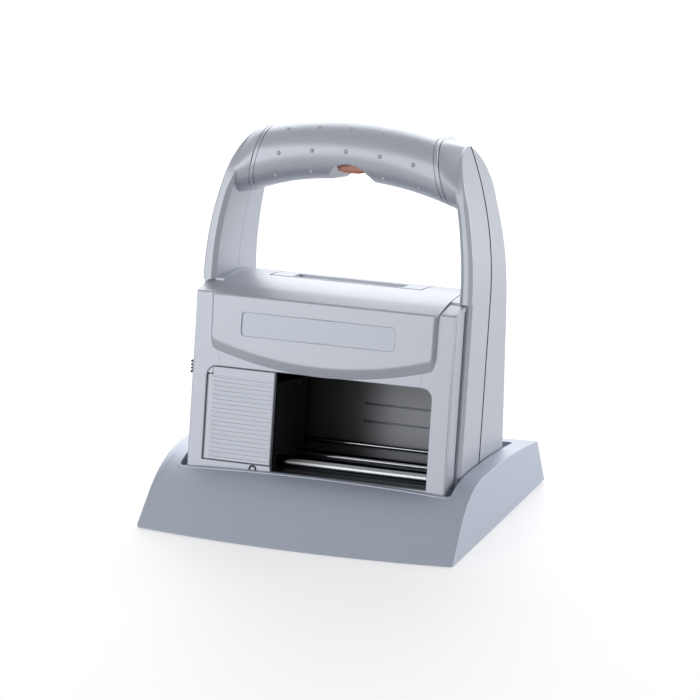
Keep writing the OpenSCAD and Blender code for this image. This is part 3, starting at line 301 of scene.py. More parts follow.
# the inlet is left open in the lowest strip of the back wall
keep = np.ones((cradle.shape[0] - 1, cradle.shape[1] - 1), bool)
inlet_column = np.flatnonzero((np.abs(foot_x - INLET_X[0]) < 0.2) & (foot_y > 0))[0]
keep[-ARC_STEPS - 1:, inlet_column] = False
cradle_shell = shape("cradle_shell_skin", (cradle, keep))


def walled(obj, wall):
    """Gives an open skin its wall, inwards from the skin."""
    solid = obj.modifiers.new("wall", "SOLIDIFY")
    solid.thickness, solid.offset = wall * MM, -1
    solid.use_quality_normals = True


CRISP = np.radians(32)
smooth_group = bpy.data.node_groups.new("smooth_by_angle", "GeometryNodeTree")
for in_or_out in ("INPUT", "OUTPUT"):
    smooth_group.interface.new_socket("Geometry", in_out=in_or_out, socket_type="NodeSocketGeometry")
raw = add(smooth_group, "NodeGroupInput")
merged = add(smooth_group, "GeometryNodeMergeByDistance", Geometry=raw.outputs[0], Distance=MERGE)
round_faces = add(smooth_group, "GeometryNodeSetShadeSmooth", domain="FACE", Geometry=merged.outputs[0],
                  Shade_Smooth=True)
edge_angle = add(smooth_group, "GeometryNodeInputMeshEdgeAngle").outputs["Unsigned Angle"]
steep = add(smooth_group, "FunctionNodeCompare", data_type="FLOAT", operation="GREATER_THAN",
            _0=edge_angle, _1=CRISP)
sharp_edges = add(smooth_group, "GeometryNodeSetShadeSmooth", domain="EDGE", Geometry=round_faces.outputs[0],
                  Selection=steep.outputs[0], Shade_Smooth=False)
add(smooth_group, "NodeGroupOutput", Geometry=sharp_edges.outputs[0])


def eased(obj, material):
    """Shades round faces smooth and keeps edges over 32 degrees crisp, with flat faces kept flat, and
    gives the piece its finish."""
    obj.modifiers.new("smooth_by_angle", "NODES").node_group = smooth_group
    weigh = obj.modifiers.new("flat_faces", "WEIGHTED_NORMAL")
    weigh.keep_sharp, weigh.weight = True, 90
    if obj.material_slots:
        for slot in obj.material_slots:
            slot.material = material
    else:
        obj.data.materials.append(material)


def grained(tree, shader, place, roughness, grain_mm, depth_mm, spread):
    """Gives a finish its fine grain: one noise raises the skin and varies its gloss to either side."""
    grain = add(tree, "ShaderNodeTexNoise", Vector=place, Scale=1 / (grain_mm * MM), Detail=2.0)
    bump = add(tree, "ShaderNodeBump", Height=grain.outputs["Fac"], Distance=depth_mm * MM, Strength=0.6)
    dull = add(tree, "ShaderNodeMapRange", Value=grain.outputs["Fac"],
               To_Min=roughness - spread, To_Max=roughness + spread)
    fill(shader, Normal=bump.outputs[0], Roughness=dull.outputs[0])


def lacquer(name, dark, light, metallic, roughness, fleck_mm, grain_mm, depth_mm):
    """Metallic lacquer on a moulded skin: flecks between two tones and a fine eroded grain that shows
    as a soft sparkle. Both are drawn coarser than the real ones, so that they show."""
    material, tree, shader, place = new_material(name)
    fleck = add(tree, "ShaderNodeTexNoise", Vector=place, Scale=1 / (fleck_mm * MM),
                Detail=3.0, Roughness=0.7)
    contrast = add(tree, "ShaderNodeMapRange", Value=fleck.outputs["Fac"], From_Min=0.3, From_Max=0.7)
    tone = add(tree, "ShaderNodeMix", data_type="RGBA", Factor=contrast.outputs[0],
               _6=linear(dark), _7=linear(light))
    fill(shader, Base_Color=tone.outputs[2], Metallic=metallic)
    grained(tree, shader, place, roughness, grain_mm, depth_mm, spread=0.05)
    return material


walled(cradle_shell, CRADLE_WALL)
# lacquer over an eroded skin: satin, with broad soft lights and no clear mirror image
cradle_lacquer = lacquer("blue_grey_lacquer_on_eroded_abs", "#b3bbca", "#bdc5d3", metallic=0.3,
                         roughness=0.46, fleck_mm=0.5, grain_mm=0.45, depth_mm=0.02)
eased(cradle_shell, cradle_lacquer)
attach(cradle_shell, "cradle")
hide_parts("cradle_shell")

# Front cover
# The printer's face: an ABS moulding in silver lacquer round the window and the door, turned back
# along both sides in narrow strips and over the top corners in two cheeks. It clips onto the chassis.
FACE_X, FACE_T, STRIP_D, STRIP_T, CHEEK_D = 65.0, 3.0, 12.4, 2.4, 13.9
SOLE, CHEEK_X, CHEEK_LOW, MIDDLE_LOW = 24.4, 57.1, 0.8, 2.9
CHEEK_R, SIDE_EDGE_R, EDGE_R, MOUTH_R = 1.7, 0.8, 0.3, 0.5
OPEN_X, OPEN_LOW, OPEN_TOP, OPEN_R, SILL, SILL_X = (-57.6, 55.6), 26.4, 74.0, 5.0, 29.0, -22.7
# the crowned top's arc and its centre, and the height from which the sides rise with it
CROWN_R, CROWN_D, CROWN_H, LIFT_H = 117.0, 41.0, 0.2, 90.0
GROOVE_D, GROOVE_W, GROOVE = 1.5, 0.5, 0.5
WEB_X, WEB_LOW, WEB_D, WEB_STEP = -54.45, 70.45, (0.15, 1.4, 2.9), 0.45


def crown(d, under=0.0):
    """Height of the printer's crowned top at a depth: an arc of 117 mm about the line d 41, h 0.2."""
    return CROWN_H + np.sqrt((CROWN_R - under) ** 2 - (d - CROWN_D) ** 2)


def path(table, counts):
    """Rows of a table as stations, with each leg between two stations cut in equal steps."""
    table = np.array(table, float)
    legs = zip(table, table[1:], counts)
    return np.concatenate([np.linspace(a, b, n, endpoint=False) for a, b, n in legs])


cheek = crown(0.0) - CHEEK_LOW
under = cheek - STRIP_T
middle_top = crown(0.0, MIDDLE_LOW)
wall_x = FACE_X - STRIP_T
inner_low = SOLE + 1


def upper_corner(side, opening):
    """Stations of one upper corner of the opening, as rows of the table below: round its arc, up the
    strip, over the cheek and down inside it. Those that share a corner lie close, so it stays sharp."""
    corner = opening - side * OPEN_R
    turn = np.radians(np.linspace(0, 90, 9))
    climb = np.linspace(OPEN_TOP - OPEN_R, under - 1.6, 9)
    strip = [(corner + side * OPEN_R * np.cos(a), OPEN_TOP - OPEN_R + OPEN_R * np.sin(a),
              side * FACE_X, up, STRIP_D, side * wall_x, up - 0.8) for a, up in zip(turn, climb)]
    top = [(0.2, FACE_X, under - 0.04, STRIP_D, wall_x, under - 1.5),
           (0.3, FACE_X, under, CHEEK_D, wall_x, under - 0.05),
           (0.6, FACE_X, cheek, CHEEK_D, wall_x, under),
           (1.6, CHEEK_X, cheek, CHEEK_D, CHEEK_X + 0.8, under),
           (1.7, CHEEK_X, middle_top + 0.02, CHEEK_D, CHEEK_X + 0.8, under),
           (1.8, CHEEK_X, middle_top, FACE_T, CHEEK_X - 0.1, middle_top - 1)]
    return strip + [(corner - side * on, OPEN_TOP, side * x, h, d, side * back_x, back_h)
                    for on, x, h, d, back_x, back_h in top]


# stations round the face: opening x and h, outline x, h and depth, inner side of the return x and h
stations = [
    (OPEN_X[1], OPEN_LOW, FACE_X, SOLE, STRIP_D, wall_x, inner_low),
    *upper_corner(1, OPEN_X[1]),
    *upper_corner(-1, OPEN_X[0])[::-1],
    (OPEN_X[0], SILL, -FACE_X, SILL, STRIP_D, -wall_x, SILL),
    (OPEN_X[0] + 0.05, SILL, -FACE_X, SOLE, STRIP_D, -wall_x, inner_low),
    (OPEN_X[0] + 0.2, SILL, -wall_x - 0.02, SOLE, STRIP_D, -wall_x, inner_low),
    (OPEN_X[0] + 0.3, SILL, -wall_x, SOLE, FACE_T, 0.05 - wall_x, inner_low),
    (SILL_X, SILL, SILL_X - 2, SOLE, FACE_T, SILL_X - 2, inner_low),
    (SILL_X, OPEN_LOW, SILL_X + 3, SOLE, FACE_T, SILL_X + 3, inner_low),
    (OPEN_X[1] - 0.2, OPEN_LOW, wall_x, SOLE, FACE_T, wall_x - 0.05, inner_low),
    (OPEN_X[1] - 0.1, OPEN_LOW, wall_x + 0.02, SOLE, STRIP_D, wall_x, inner_low),
    (OPEN_X[1], OPEN_LOW, FACE_X, SOLE, STRIP_D, wall_x, inner_low)]
# the steps of each leg
corner_steps = [*[1] * 8, 1, 1, 1, 8, 1, 1]
counts = [10, *corner_steps, 20, *corner_steps[::-1], 10, 1, 1, 1, 8, 1, 12, 1, 1]
in_x, in_h, out_x, out_h, deep, back_x, back_h = path(stations, counts).T
lift = np.where(deep > FACE_T, np.clip((out_h - LIFT_H) / (under - LIFT_H), 0, 1), 0)
on_side = (np.abs(out_x) > FACE_X - 0.1) & (out_h < cheek - 0.1)


def lifted(h, d):
    """Heights at a depth: over the cheeks they follow the crown back from the face."""
    return h + lift * (crown(d) - crown(0.0))


def cover_edge(d, sink=0.0):
    """The cover's outline at a depth, at most its own: lifted to the crown, with a groove in the sides."""
    d = np.minimum(d, deep)
    return docked(out_x - np.sign(out_x) * sink * on_side, d, lifted(out_h, d))


groove_end = GROOVE_D + GROOVE_W
section = [docked(in_x, FACE_T, in_h), docked(in_x, 0, in_h), cover_edge(0),
           cover_edge(GROOVE_D), cover_edge(GROOVE_D, GROOVE), cover_edge(groove_end, GROOVE),
           cover_edge(groove_end), cover_edge(deep / 2 + 1.0), cover_edge(deep),
           docked(back_x, deep, lifted(back_h, deep)), docked(back_x, FACE_T, lifted(back_h, FACE_T))]
front_r = np.where(out_h > cheek - 0.1, CHEEK_R, np.where(on_side, SIDE_EDGE_R, EDGE_R))
section_r = [0, MOUTH_R, front_r, 0, 0, 0, 0, 0, MOUTH_R, EDGE_R, 0]
face = looped(looped(rounded(section, section_r, ARC_STEPS, closed=True)), 1)


def capped(tube):
    """A section carried along its lines, closed on itself and at both ends by fans to their middles."""
    ends = [np.repeat(tube[:, [i]].mean(0, keepdims=True), len(tube), 0) for i in (0, -1)]
    return looped(np.concatenate([ends[0], tube, ends[1]], 1))


def closed_tube(corners, radii, steps):
    """A section of rounded corners carried along its lines and closed at both ends."""
    return capped(rounded(corners, radii, steps, closed=True))


# the web that fills the opening's upper left corner, over the door's barrel
web_x = np.linspace(OPEN_X[0] + 0.1, WEB_X, 9)
web_arc = np.sqrt(np.maximum(OPEN_R ** 2 - (web_x - OPEN_X[0] - OPEN_R) ** 2, 0))
web_top = OPEN_TOP - OPEN_R + web_arc + 0.15
web_low = np.minimum(WEB_LOW, web_top - 0.1)
web_step = np.maximum(web_top - WEB_STEP, web_low + 0.05)
web_corners = ((WEB_D[0], web_low), (WEB_D[0], web_step), (WEB_D[1], web_step),
               (WEB_D[1], web_top), (WEB_D[2], web_top), (WEB_D[2], web_low))
web = closed_tube([docked(web_x, d, h) for d, h in web_corners], [0.1, 0.1, 0, 0, 0, 0.1], 2)
front_cover = shape("front_cover_skin", face, web)
# silver lacquer on a smooth moulding: its lights are brighter and closer than the cradle's
silver = lacquer("silver_lacquer_on_moulded_abs", "#b6bbc5", "#bfc4cd", metallic=0.35, roughness=0.4,
                 fleck_mm=0.6, grain_mm=0.5, depth_mm=0.008)
eased(front_cover, silver)
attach(front_cover, "printer")
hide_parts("front_cover")

# Hood
# The crowned top and the raised front panel are one silver ABS moulding: bevelled ends, a curved lower
# bevel, a sunk place for a label and an opening for the battery lid. It snaps over the chassis.
HOOD_X, HOOD_BACK, WALL, BACK_ROLL, UNDER_D = 56.8, 64.3, 2.4, 0.4, 0.6
# the front panel: how proud it stands, its lower edge's arc, its bevels, and shares of the bevels that
# round the corners, soften the crease and dip under the face
PROUD, SWEEP_R, SWEEP_H, BEVEL, SIDE_BEVEL = 2.75, 186.0, 259.9, 4.7, 1.5
CORNER, CREASE, DIP = 1.7, 0.05, 0.15
# width of the close columns at both ends
END_W = 5.2
BROW_LOW, BROW_END, BROW_R = 103.5, 6.0, 1.3
LABEL_X, LABEL_H, LABEL_DEEP, LABEL_R = (-40.45, 36.75), (89.75, 101.25), 0.6, 1.9
BLOCK_X, BLOCK_H = (-43.0, 39.0), (88.9, 103.0)
LID_HOLE_X, LID_HOLE_D = (-40.3, 37.3), (28.7, 61.8)


def panel_depth(x, h):
    """How far the front panel stands proud: full in the middle, falling off evenly over the lower bevel,
    measured from its curved edge, and over the bevels at both ends, round both lower corners. The
    crease at the top of the bevel is rounded, and past the edge the skin dips under the cover's face."""
    low = np.maximum(CORNER - (SWEEP_R - np.hypot(x, SWEEP_H - h)) / BEVEL, 0)
    end = np.maximum(CORNER - (HOOD_X - np.abs(x)) / SIDE_BEVEL, 0)
    share = CORNER - np.hypot(low, end)
    return PROUD * np.maximum(-CREASE * np.log(np.exp(-share / CREASE) + np.exp(-1 / CREASE)), -DIP)


def sweep_line(x, up):
    """Height of the line that runs a given way up from the panel's lower edge, on the same centre."""
    return SWEEP_H - np.sqrt((SWEEP_R - up) ** 2 - x ** 2)


hood_x = np.unique(np.concatenate([np.linspace(-HOOD_X, HOOD_X, 60), BLOCK_X, LID_HOLE_X,
                                   *[s * np.linspace(HOOD_X - END_W, HOOD_X, 18) for s in (-1, 1)]]))
even = np.zeros(len(hood_x))
bevel_rows = [sweep_line(hood_x, up) for up in (0, 0.25, 0.7, 1.3, 2, 2.8, 3.6, 4.2, 4.6, 5.0, 5.5)]
front_h = np.stack([*bevel_rows, (bevel_rows[-1] + BLOCK_H[0]) / 2, *[h + even for h in BLOCK_H]])
front_d = -panel_depth(hood_x, front_h)
brow_d = -panel_depth(hood_x, BROW_LOW)
brow = rounded([np.stack([brow_d, BROW_LOW + even], -1), np.stack([brow_d, crown(brow_d)], -1),
                np.stack([BROW_END + even, crown(BROW_END) + even], -1)], [0, BROW_R, 0])
top_d = np.array([9, 13, 18, 23, LID_HOLE_D[0], 33, 38, 43, 48, 53, 57.5, LID_HOLE_D[1],
                  HOOD_BACK - 0.5, HOOD_BACK])[:, None]
top_h = crown(top_d) - np.where(top_d == HOOD_BACK, BACK_ROLL, 0)
outer_d = np.concatenate([front_d, brow[..., 0], top_d + even])
outer_h = np.concatenate([front_h, brow[..., 1], top_h + even])
under_d = np.maximum(outer_d, UNDER_D)
under_h = np.minimum(outer_h, crown(under_d, WALL))
hood_outer, hood_under = docked(hood_x, outer_d, outer_h), docked(hood_x, under_d, under_h)
# openings for the lid, through both skins, and for the label's place, in the outer one
first, last = (np.flatnonzero(np.isclose(outer_d[:, 0], d))[0] for d in LID_HOLE_D)
left, right = (np.flatnonzero(np.isclose(hood_x, x))[0] for x in LID_HOLE_X)
lid_hole = np.s_[first:last + 1, left:right + 1]
keep_under = np.ones((len(hood_outer) - 1, len(hood_x) - 1), bool)
keep_under[first:last, left:right] = False
keep_outer = keep_under.copy()
block_row = len(bevel_rows) + 1
keep_outer[block_row, (hood_x[:-1] > BLOCK_X[0] - 0.01) & (hood_x[1:] < BLOCK_X[1] + 0.01)] = False


def edge_strips(upper, lower):
    """Strips that join two grids of one size along all four edges."""
    pairs = [(upper[i], lower[i]) for i in (0, -1)] + [(upper[:, i], lower[:, i]) for i in (0, -1)]
    return [np.stack(pair) for pair in pairs]


def plate_loop(x, h, radius, d):
    """Rounded rectangle on the panel at a depth, as a loop of the same count for any size."""
    loop_x, loop_h = ring(x, h, radius, [np.linspace(0, 1, 9)[1:-1]] * 4).T
    return docked(loop_x, d, loop_h)


bed_d = LABEL_DEEP - PROUD
label_place = looped(rounded([
    plate_loop(BLOCK_X, BLOCK_H, 0.001, -PROUD), plate_loop(LABEL_X, LABEL_H, LABEL_R, -PROUD),
    plate_loop(LABEL_X, LABEL_H, LABEL_R, bed_d), docked(np.mean(LABEL_X), bed_d, np.mean(LABEL_H))],
    [0, 0.15, 0, 0], 3), 1)
hood = shape("hood_skin", (hood_outer, keep_outer), (hood_under, keep_under), label_place,
             *edge_strips(hood_outer, hood_under),
             *edge_strips(hood_outer[lid_hole], hood_under[lid_hole]))
eased(hood, silver)
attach(hood, "printer")
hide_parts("hood")

# Label plate
# A bare plate of satin film on ABS with round corners, cut to fit the sunk place of the panel. It is
# glued in, nearly flush, a little to the right and up, so that the gap shows at its left and below.
PLATE_X = LABEL_X[0] + 0.616, LABEL_X[1] - 0.028
PLATE_H = LABEL_H[0] + 0.392, LABEL_H[1] - 0.168
PLATE_R, PLATE_SUNK, PLATE_EDGE, PRESSED = 1.62, 0.12, 0.12, 0.01
plate_back, plate_face = bed_d - PRESSED, PLATE_SUNK - PROUD
plate_middle = [docked(np.mean(LABEL_X), d, np.mean(LABEL_H)) for d in (plate_back, plate_face)]
plate_edges = [plate_loop(PLATE_X, PLATE_H, PLATE_R, d) for d in (plate_back, plate_face)]
plate_grid = looped(rounded([plate_middle[0], *plate_edges, plate_middle[1]], [0, 0, PLATE_EDGE, 0], 3), 1)
label_plate = shape("bare_label_plate", plate_grid)
# satin film: a shade darker than the hood round it, and smoother
satin = lacquer("bare_satin_label", "#b2b8c3", "#bcc2cc", metallic=0.3, roughness=0.36,
                fleck_mm=0.6, grain_mm=0.5, depth_mm=0.004)
eased(label_plate, satin)
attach(label_plate, "printer")
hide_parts("badge_plate")

# Battery lid
# A curved flap of silver ABS in the hood, hinged on a pin along its back edge. A long finger recess is
# moulded along its front edge.
LID_X, LID_D, LID_ROLL = (-39.75, 36.75), (30.2, 61.4), 0.35
RECESS_X, RECESS_D, RECESS_DEEP, STEEP = (-29.1, 26.6), (31.5, 41.5), 1.8, 0.1
# close lines stand beside the rolled edges and at the recess's steep walls
lid_x = np.unique(np.concatenate([np.linspace(*LID_X, 40), (LID_X[0] + 0.25, LID_X[1] - 0.25),
                                  *[(x - STEEP, x + STEEP) for x in RECESS_X]]))
lid_d = np.unique(np.concatenate([np.linspace(*LID_D, 20), (LID_D[0] + 0.2, LID_D[1] - 0.3),
                                  *[(d - STEEP, d + STEEP) for d in RECESS_D]]))
grid_x, grid_d = np.meshgrid(lid_x, lid_d)
in_recess = ((grid_x > RECESS_X[0]) & (grid_x < RECESS_X[1])
             & (grid_d > RECESS_D[0]) & (grid_d < RECESS_D[1]))
at_edge = np.isin(grid_x, LID_X) | np.isin(grid_d, LID_D)
lid_top = docked(grid_x, grid_d, crown(grid_d) - RECESS_DEEP * in_recess - LID_ROLL * at_edge)
lid_low = docked(grid_x, grid_d, crown(grid_d, WALL))
battery_lid = shape("battery_lid_skin", lid_top, lid_low, *edge_strips(lid_top, lid_low))
eased(battery_lid, silver)
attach(battery_lid, "lid")
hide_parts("battery_lid")

# Cartridge door
# A silver ABS door over the left of the window, with fine level ribs across its face. It swings on a
# pin along its rounded left edge.
DOOR_H, DOOR_X1, DOOR_D, DOOR_EDGE = (29.3, 73.7), -23.0, (0.1, 2.9), 0.3
HINGE_X, BARREL, BARREL_X, BARREL_TOP = -55.9, 1.4, 1.55, 69.75
TURN_X, TURN_H, TURN_R, TURN_END = -52.6, 69.0, 4.7, -54.2
RIB_X, RIB_TOP, RIBS, PITCH, RIB_DEEP = (-53.6, -23.7), 70.62, 19, 2.1, 0.4
RIB_FOOT, RIB_BROW = 0.4, 0.52
grooves = RIB_TOP - PITCH * (np.arange(RIBS) + 0.75)
door_h = np.unique(np.concatenate([
    (DOOR_H[0], DOOR_H[0] + DOOR_EDGE, BARREL_TOP - 0.05, BARREL_TOP + 0.05, 72.2, 73.0,
     DOOR_H[1] - DOOR_EDGE, DOOR_H[1]), *[grooves + o for o in (-RIB_BROW, -RIB_FOOT, RIB_FOOT, RIB_BROW)]]))
# the left edge: the barrel, and above it the round corner under the web
on_barrel = door_h < BARREL_TOP
corner_x = TURN_X - np.sqrt(np.maximum(TURN_R ** 2 - (door_h - TURN_H) ** 2, 0))
left_x = np.where(on_barrel, HINGE_X - BARREL_X, np.maximum(TURN_END, corner_x))
# columns: close ones round the barrel, squeezed together above it, then the ribs and the free edge
left_columns = np.array([0, 0.12, 0.45, 0.95, 1.4, 2.2])
face_columns = [RIB_X[0] - 0.1, RIB_X[0] + 1.2, -45, -35, RIB_X[1] - 0.7, RIB_X[1] + 0.1,
                DOOR_X1 - 0.4, DOOR_X1]
grid_x = np.concatenate([left_x[:, None] + left_columns * np.where(on_barrel, 1, 0.2)[:, None],
                         np.repeat([face_columns], len(door_h), 0)], 1)
grid_h = np.repeat(door_h[:, None], grid_x.shape[1], 1)
to_groove = np.abs(door_h[:, None] - grooves).min(1)[:, None]
in_groove = (to_groove < (RIB_FOOT + RIB_BROW) / 2) & (grid_x > RIB_X[0]) & (grid_x < RIB_X[1])
round_edge = BARREL * (1 - np.sqrt(np.maximum(1 - ((grid_x - HINGE_X) / BARREL_X) ** 2, 0)))
barrel = np.where(grid_x < HINGE_X, round_edge, 0)
edge = DOOR_EDGE * (np.isin(grid_x, DOOR_X1) | np.isin(grid_h, DOOR_H))
door_front = docked(grid_x, DOOR_D[0] + np.maximum(RIB_DEEP * in_groove, edge) + barrel, grid_h)
door_back = docked(grid_x, DOOR_D[1] - barrel, grid_h)
cartridge_door = shape("cartridge_door_skin", door_front, door_back, *edge_strips(door_front, door_back))
eased(cartridge_door, silver)
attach(cartridge_door, "door")
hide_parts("cartridge_door")

# Latch eyelet
# A small dark ring in the sill under the door's free end, where the door's latch catches. It is moulded
# in black ABS, pressed in and left dull.
EYE_X, EYE_H, EYE_IN, EYE_OUT, EYE_FACE, EYE_BACK = -31.3, 26.8, 1.2, 2.0, -0.04, 0.3
eye_turn = np.linspace(0, 2 * np.pi, 33)
eye_r, eye_d = np.array([(EYE_IN, EYE_BACK), (EYE_IN, EYE_FACE), (EYE_OUT, EYE_FACE), (EYE_OUT, EYE_BACK),
                         (EYE_IN, EYE_BACK)]).T[..., None]
eyelet = shape("latch_eyelet", docked(EYE_X + eye_r * np.cos(eye_turn), eye_d,
                                      EYE_H + eye_r * np.sin(eye_turn)))
# dull black: the eyelet's own black ABS, and the painted shade at the bottom of the seam; it swallows nearly
# all light, so that the ring and the seam read as dark lines
black_abs_and_seam_shade, tree, shader, place = new_material("dull_black_abs_and_painted_seam_shade")
clouded(tree, shader, place, 0.4, "#0c0c0d", "#161617")
fill(shader, Roughness=0.9, Specular_IOR_Level=0.1)
eased(eyelet, black_abs_and_seam_shade)
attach(eyelet, "printer")

# Handle frames
# Two silver ABS halves that meet in a seam down both sides: thin posts that rise from the sole, curve
# in and back and end in rounded tops like a leaf, and the oval necks of the grip. Screws from the back
# hold them together.
# the posts: half width, foot and radius of their bend, front, and the seam with its half width and the
# half gap behind it
SIDE_X, BEND_H, SIDE_R, POST_D, SEAM_D, SEAM, MEET = 67.6, 115.0, 175.0, 14.2, 41.0, 0.8, 0.08
# the grip: top of its middle line, the arch's radius, the oval's half height, and its front and back
GRIP_H, ARCH_R, GRIP_R, GRIP_D = 179.6, 170.0, 13.8, (14.2, 60.8)
# the front edge's lean and toe, and the middle, foot and tip of the rounded tops
LEAN_H, LEAN_R, TOE = 132.0, 250.0, 1.8
LEAF_D, LEAF_H, LEAF_TOP = 36.9, 160.0, 185.5
TOE_H = crown(POST_D) - 0.7
# by height: a post's thickness, the depth of its back edge, and how much is left of its cut edges
POST_T = [BEND_H, 140, 174], [6.2, 6.0, 5.3]
BACK_EDGE = [SOLE, 110, 120, 140, LEAF_H], [78.5, 67.6, 65.6, 62.6, 59.2]
CUT_FADE = [158, 170], [1.0, 0.15]
# cut edges: the front half's outer ones by side, its inner ones and their softness, and the rear half's
OUTER_CUT, INNER_CUT, FRONT_SOFT, REAR_CUT = {1: 1.6, -1: 0.7}, 2.0, 0.5, 1.2
# the necks: their upper and lower start, lower end, how far the upper end stays in and sinks, and how
# late they narrow
NECK_TOP_X, NECK_LOW_X, NECK_END_X, NECK_INSET, NECK_DROP, NECK_POWER = 44.0, 50.7, 61.0, 0.4, 0.5, 1.6
CROWN_STRIP_X = 62.2
SIDE_C, ARCH_C = np.array([SIDE_X - SIDE_R, BEND_H]), np.array([0, GRIP_H - ARCH_R])


def leaf(h):
    """How far a post's rounded top has narrowed at a height: an ellipse's width, 1 at its foot and 0 at
    its top."""
    return np.sqrt(1 - np.clip((h - LEAF_H) / (LEAF_TOP - LEAF_H), 0, 1) ** 2)


def post_front(h):
    """Depth of a post's front edge: it stands forward over the cheek on a toe, leans back on an arc of
    250 mm and turns over in the front half of the rounded top."""
    lean_h = np.clip(h, LEAN_H, LEAF_H) - LEAN_H
    lean = POST_D - TOE * (h > TOE_H) + LEAN_R - np.sqrt(LEAN_R ** 2 - lean_h ** 2)
    return LEAF_D - (LEAF_D - lean) * leaf(h)


def post_back(h):
    """Depth of a post's back edge: it leans in to the grip and turns over in the rounded top, down to the
    seam."""
    lean = np.interp(h, *BACK_EDGE)
    return np.maximum(LEAF_D + (lean - LEAF_D) * leaf(h), SEAM_D + SEAM + 0.3)


def on_circle(centre, radius, x):
    """Upper points of a circle at given x."""
    return np.stack([x, centre[1] + np.sqrt(radius ** 2 - (x - centre[0]) ** 2)], -1)


# both faces of the post rise straight to the bend and then follow its circle, in close steps at the top
leaf_h = LEAF_H + (LEAF_TOP - LEAF_H) * np.sin(np.radians(np.linspace(0, 88, 24)))
bend_h = np.concatenate([np.linspace(BEND_H, LEAF_H, 14, endpoint=False), leaf_h])
post_h = np.array([SOLE, 45, 65, 85, 100, TOE_H - 0.02, TOE_H + 0.02])
bend = np.concatenate([0 * post_h, np.arcsin((bend_h - BEND_H) / SIDE_R)])
around = np.stack([np.cos(bend), np.sin(bend)], -1)
outer_line = SIDE_C + SIDE_R * around
thick = np.interp(outer_line[:, 1], *POST_T)
inner_line = SIDE_C + (SIDE_R - thick)[:, None] * around
outer_line[:len(post_h), 1] = inner_line[:len(post_h), 1] = post_h
neck = np.linspace(0, 1, 25)
neck_end_x = outer_line[-1, 0] - NECK_INSET
neck_top = on_circle(ARCH_C, ARCH_R + GRIP_R, NECK_TOP_X + (neck_end_x - NECK_TOP_X) * neck)
neck_top -= np.array([0, NECK_DROP]) * neck[:, None] ** 2
neck_low = on_circle(ARCH_C, ARCH_R - GRIP_R, NECK_LOW_X + (NECK_END_X - NECK_LOW_X) * neck)


def between(share):
    """A line down a post's section, a share of the way from its outer face to its inner face."""
    return (outer_line + (inner_line - outer_line) * np.asarray(share)[..., None]).T


def post(side, near, face, sign, outer_cut, inner_cut, soft):
    """Half a post, from the seam to its face, with both edges of the face cut off at 45 degrees. The
    cuts run out where the post meets the neck."""
    (xo, ho), (xi, hi) = outer_line.T, inner_line.T
    fade = np.interp(outer_line[:, 1], *CUT_FADE)
    outer_cut, inner_cut = outer_cut * fade, inner_cut * fade
    (xa, ha), (xb, hb) = between(outer_cut / thick), between(1 - inner_cut / thick)
    corners = [docked(side * xo, near, ho), docked(side * xo, face(ho) + sign * outer_cut, ho),
               docked(side * xa, face(ha), ha), docked(side * xb, face(hb), hb),
               docked(side * xi, face(hi) + sign * inner_cut, hi),
               docked(side * xi, SEAM_D - sign * MEET, hi)]
    return closed_tube(corners, [0.25, soft, soft, soft, soft, 0.15], 5)


def neck_half(side, near, grip, face, sign):
    """Half a neck: half the grip's oval, a half circle on its face, which narrows to the outline of the
    post's rounded top as it runs into it."""
    turn = np.radians(np.linspace(90, -90, 33))[:, None]
    middle, half = (neck_top + neck_low) / 2, (neck_top - neck_low) / 2
    x, h = (middle + half * np.sin(turn)[..., None]).transpose(2, 0, 1)
    oval = grip + sign * GRIP_R * (1 - np.cos(turn))
    narrow = np.maximum(sign * (face(h[:, -1:]) + sign * 0.15 - oval), 0)
    skin = docked(side * x, oval + sign * narrow * neck ** NECK_POWER, h)
    at_seam = [docked(side * x[row], near, h[row]) for row in (np.s_[:1], np.s_[-1:])]
    return capped(np.concatenate([at_seam[0], skin, at_seam[1]]))


def crown_strip(side, d0, d1):
    """Narrow strip of the crowned top between the hood and a post, with its wall under it."""
    d = np.linspace(d0, d1, 14)
    x0, x1 = side * CHEEK_X, side * CROWN_STRIP_X
    return closed_tube([docked(x0, d, crown(d, WALL)), docked(x0, d, crown(d)), docked(x1, d, crown(d)),
                        docked(x1, d, crown(d, WALL))], [0, 0.3, 0, 0], 3)


handle_front = shape("handle_front_skin", *[grid for side in (1, -1) for grid in (
    post(side, SEAM_D - SEAM, post_front, 1, OUTER_CUT[side], INNER_CUT, FRONT_SOFT),
    neck_half(side, SEAM_D - MEET, GRIP_D[0], post_front, 1),
    crown_strip(side, POST_D, SEAM_D - 0.02))])
eased(handle_front, silver)
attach(handle_front, "printer")
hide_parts("handle_frame_front")


def square_loop(x, h):
    """Loop round a rectangle with sharp corners, each side in 12 steps."""
    return path([(x[0], h[0]), (x[1], h[0]), (x[1], h[1]), (x[0], h[1]), (x[0], h[0])], [12] * 4)


# the rear half has the printer's back wall, with a hole for the data socket
BACK_X, BACK_H, BACK_D = (-64.5, 64.5), (SOLE, crown(67.0) - 0.3), (0.2, 2.4)
SOCKET_X, SOCKET_H = (29.9, 46.1), (39.9, 48.1)
back_loop, hole_loop = square_loop(BACK_X, BACK_H), square_loop(SOCKET_X, SOCKET_H)
slab = [docked(loop[:, 0], post_back(loop[:, 1]) - BACK_D[i], loop[:, 1])
        for loop, i in ((back_loop, 1), (back_loop, 0), (hole_loop, 0), (hole_loop, 1))]
back_wall = looped(looped(rounded(slab, [0.2, 0.2, 0.5, 0.2], 4, closed=True)), 1)
handle_rear = shape("handle_rear_skin", back_wall, *[grid for side in (1, -1) for grid in (
    post(side, SEAM_D + SEAM, post_back, -1, REAR_CUT, REAR_CUT, REAR_CUT),
    neck_half(side, SEAM_D + MEET, GRIP_D[1], post_back, -1),
    crown_strip(side, SEAM_D + 0.02, HOOD_BACK))])
eased(handle_rear, silver)
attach(handle_rear, "printer")
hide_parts("handle_frame_rear")
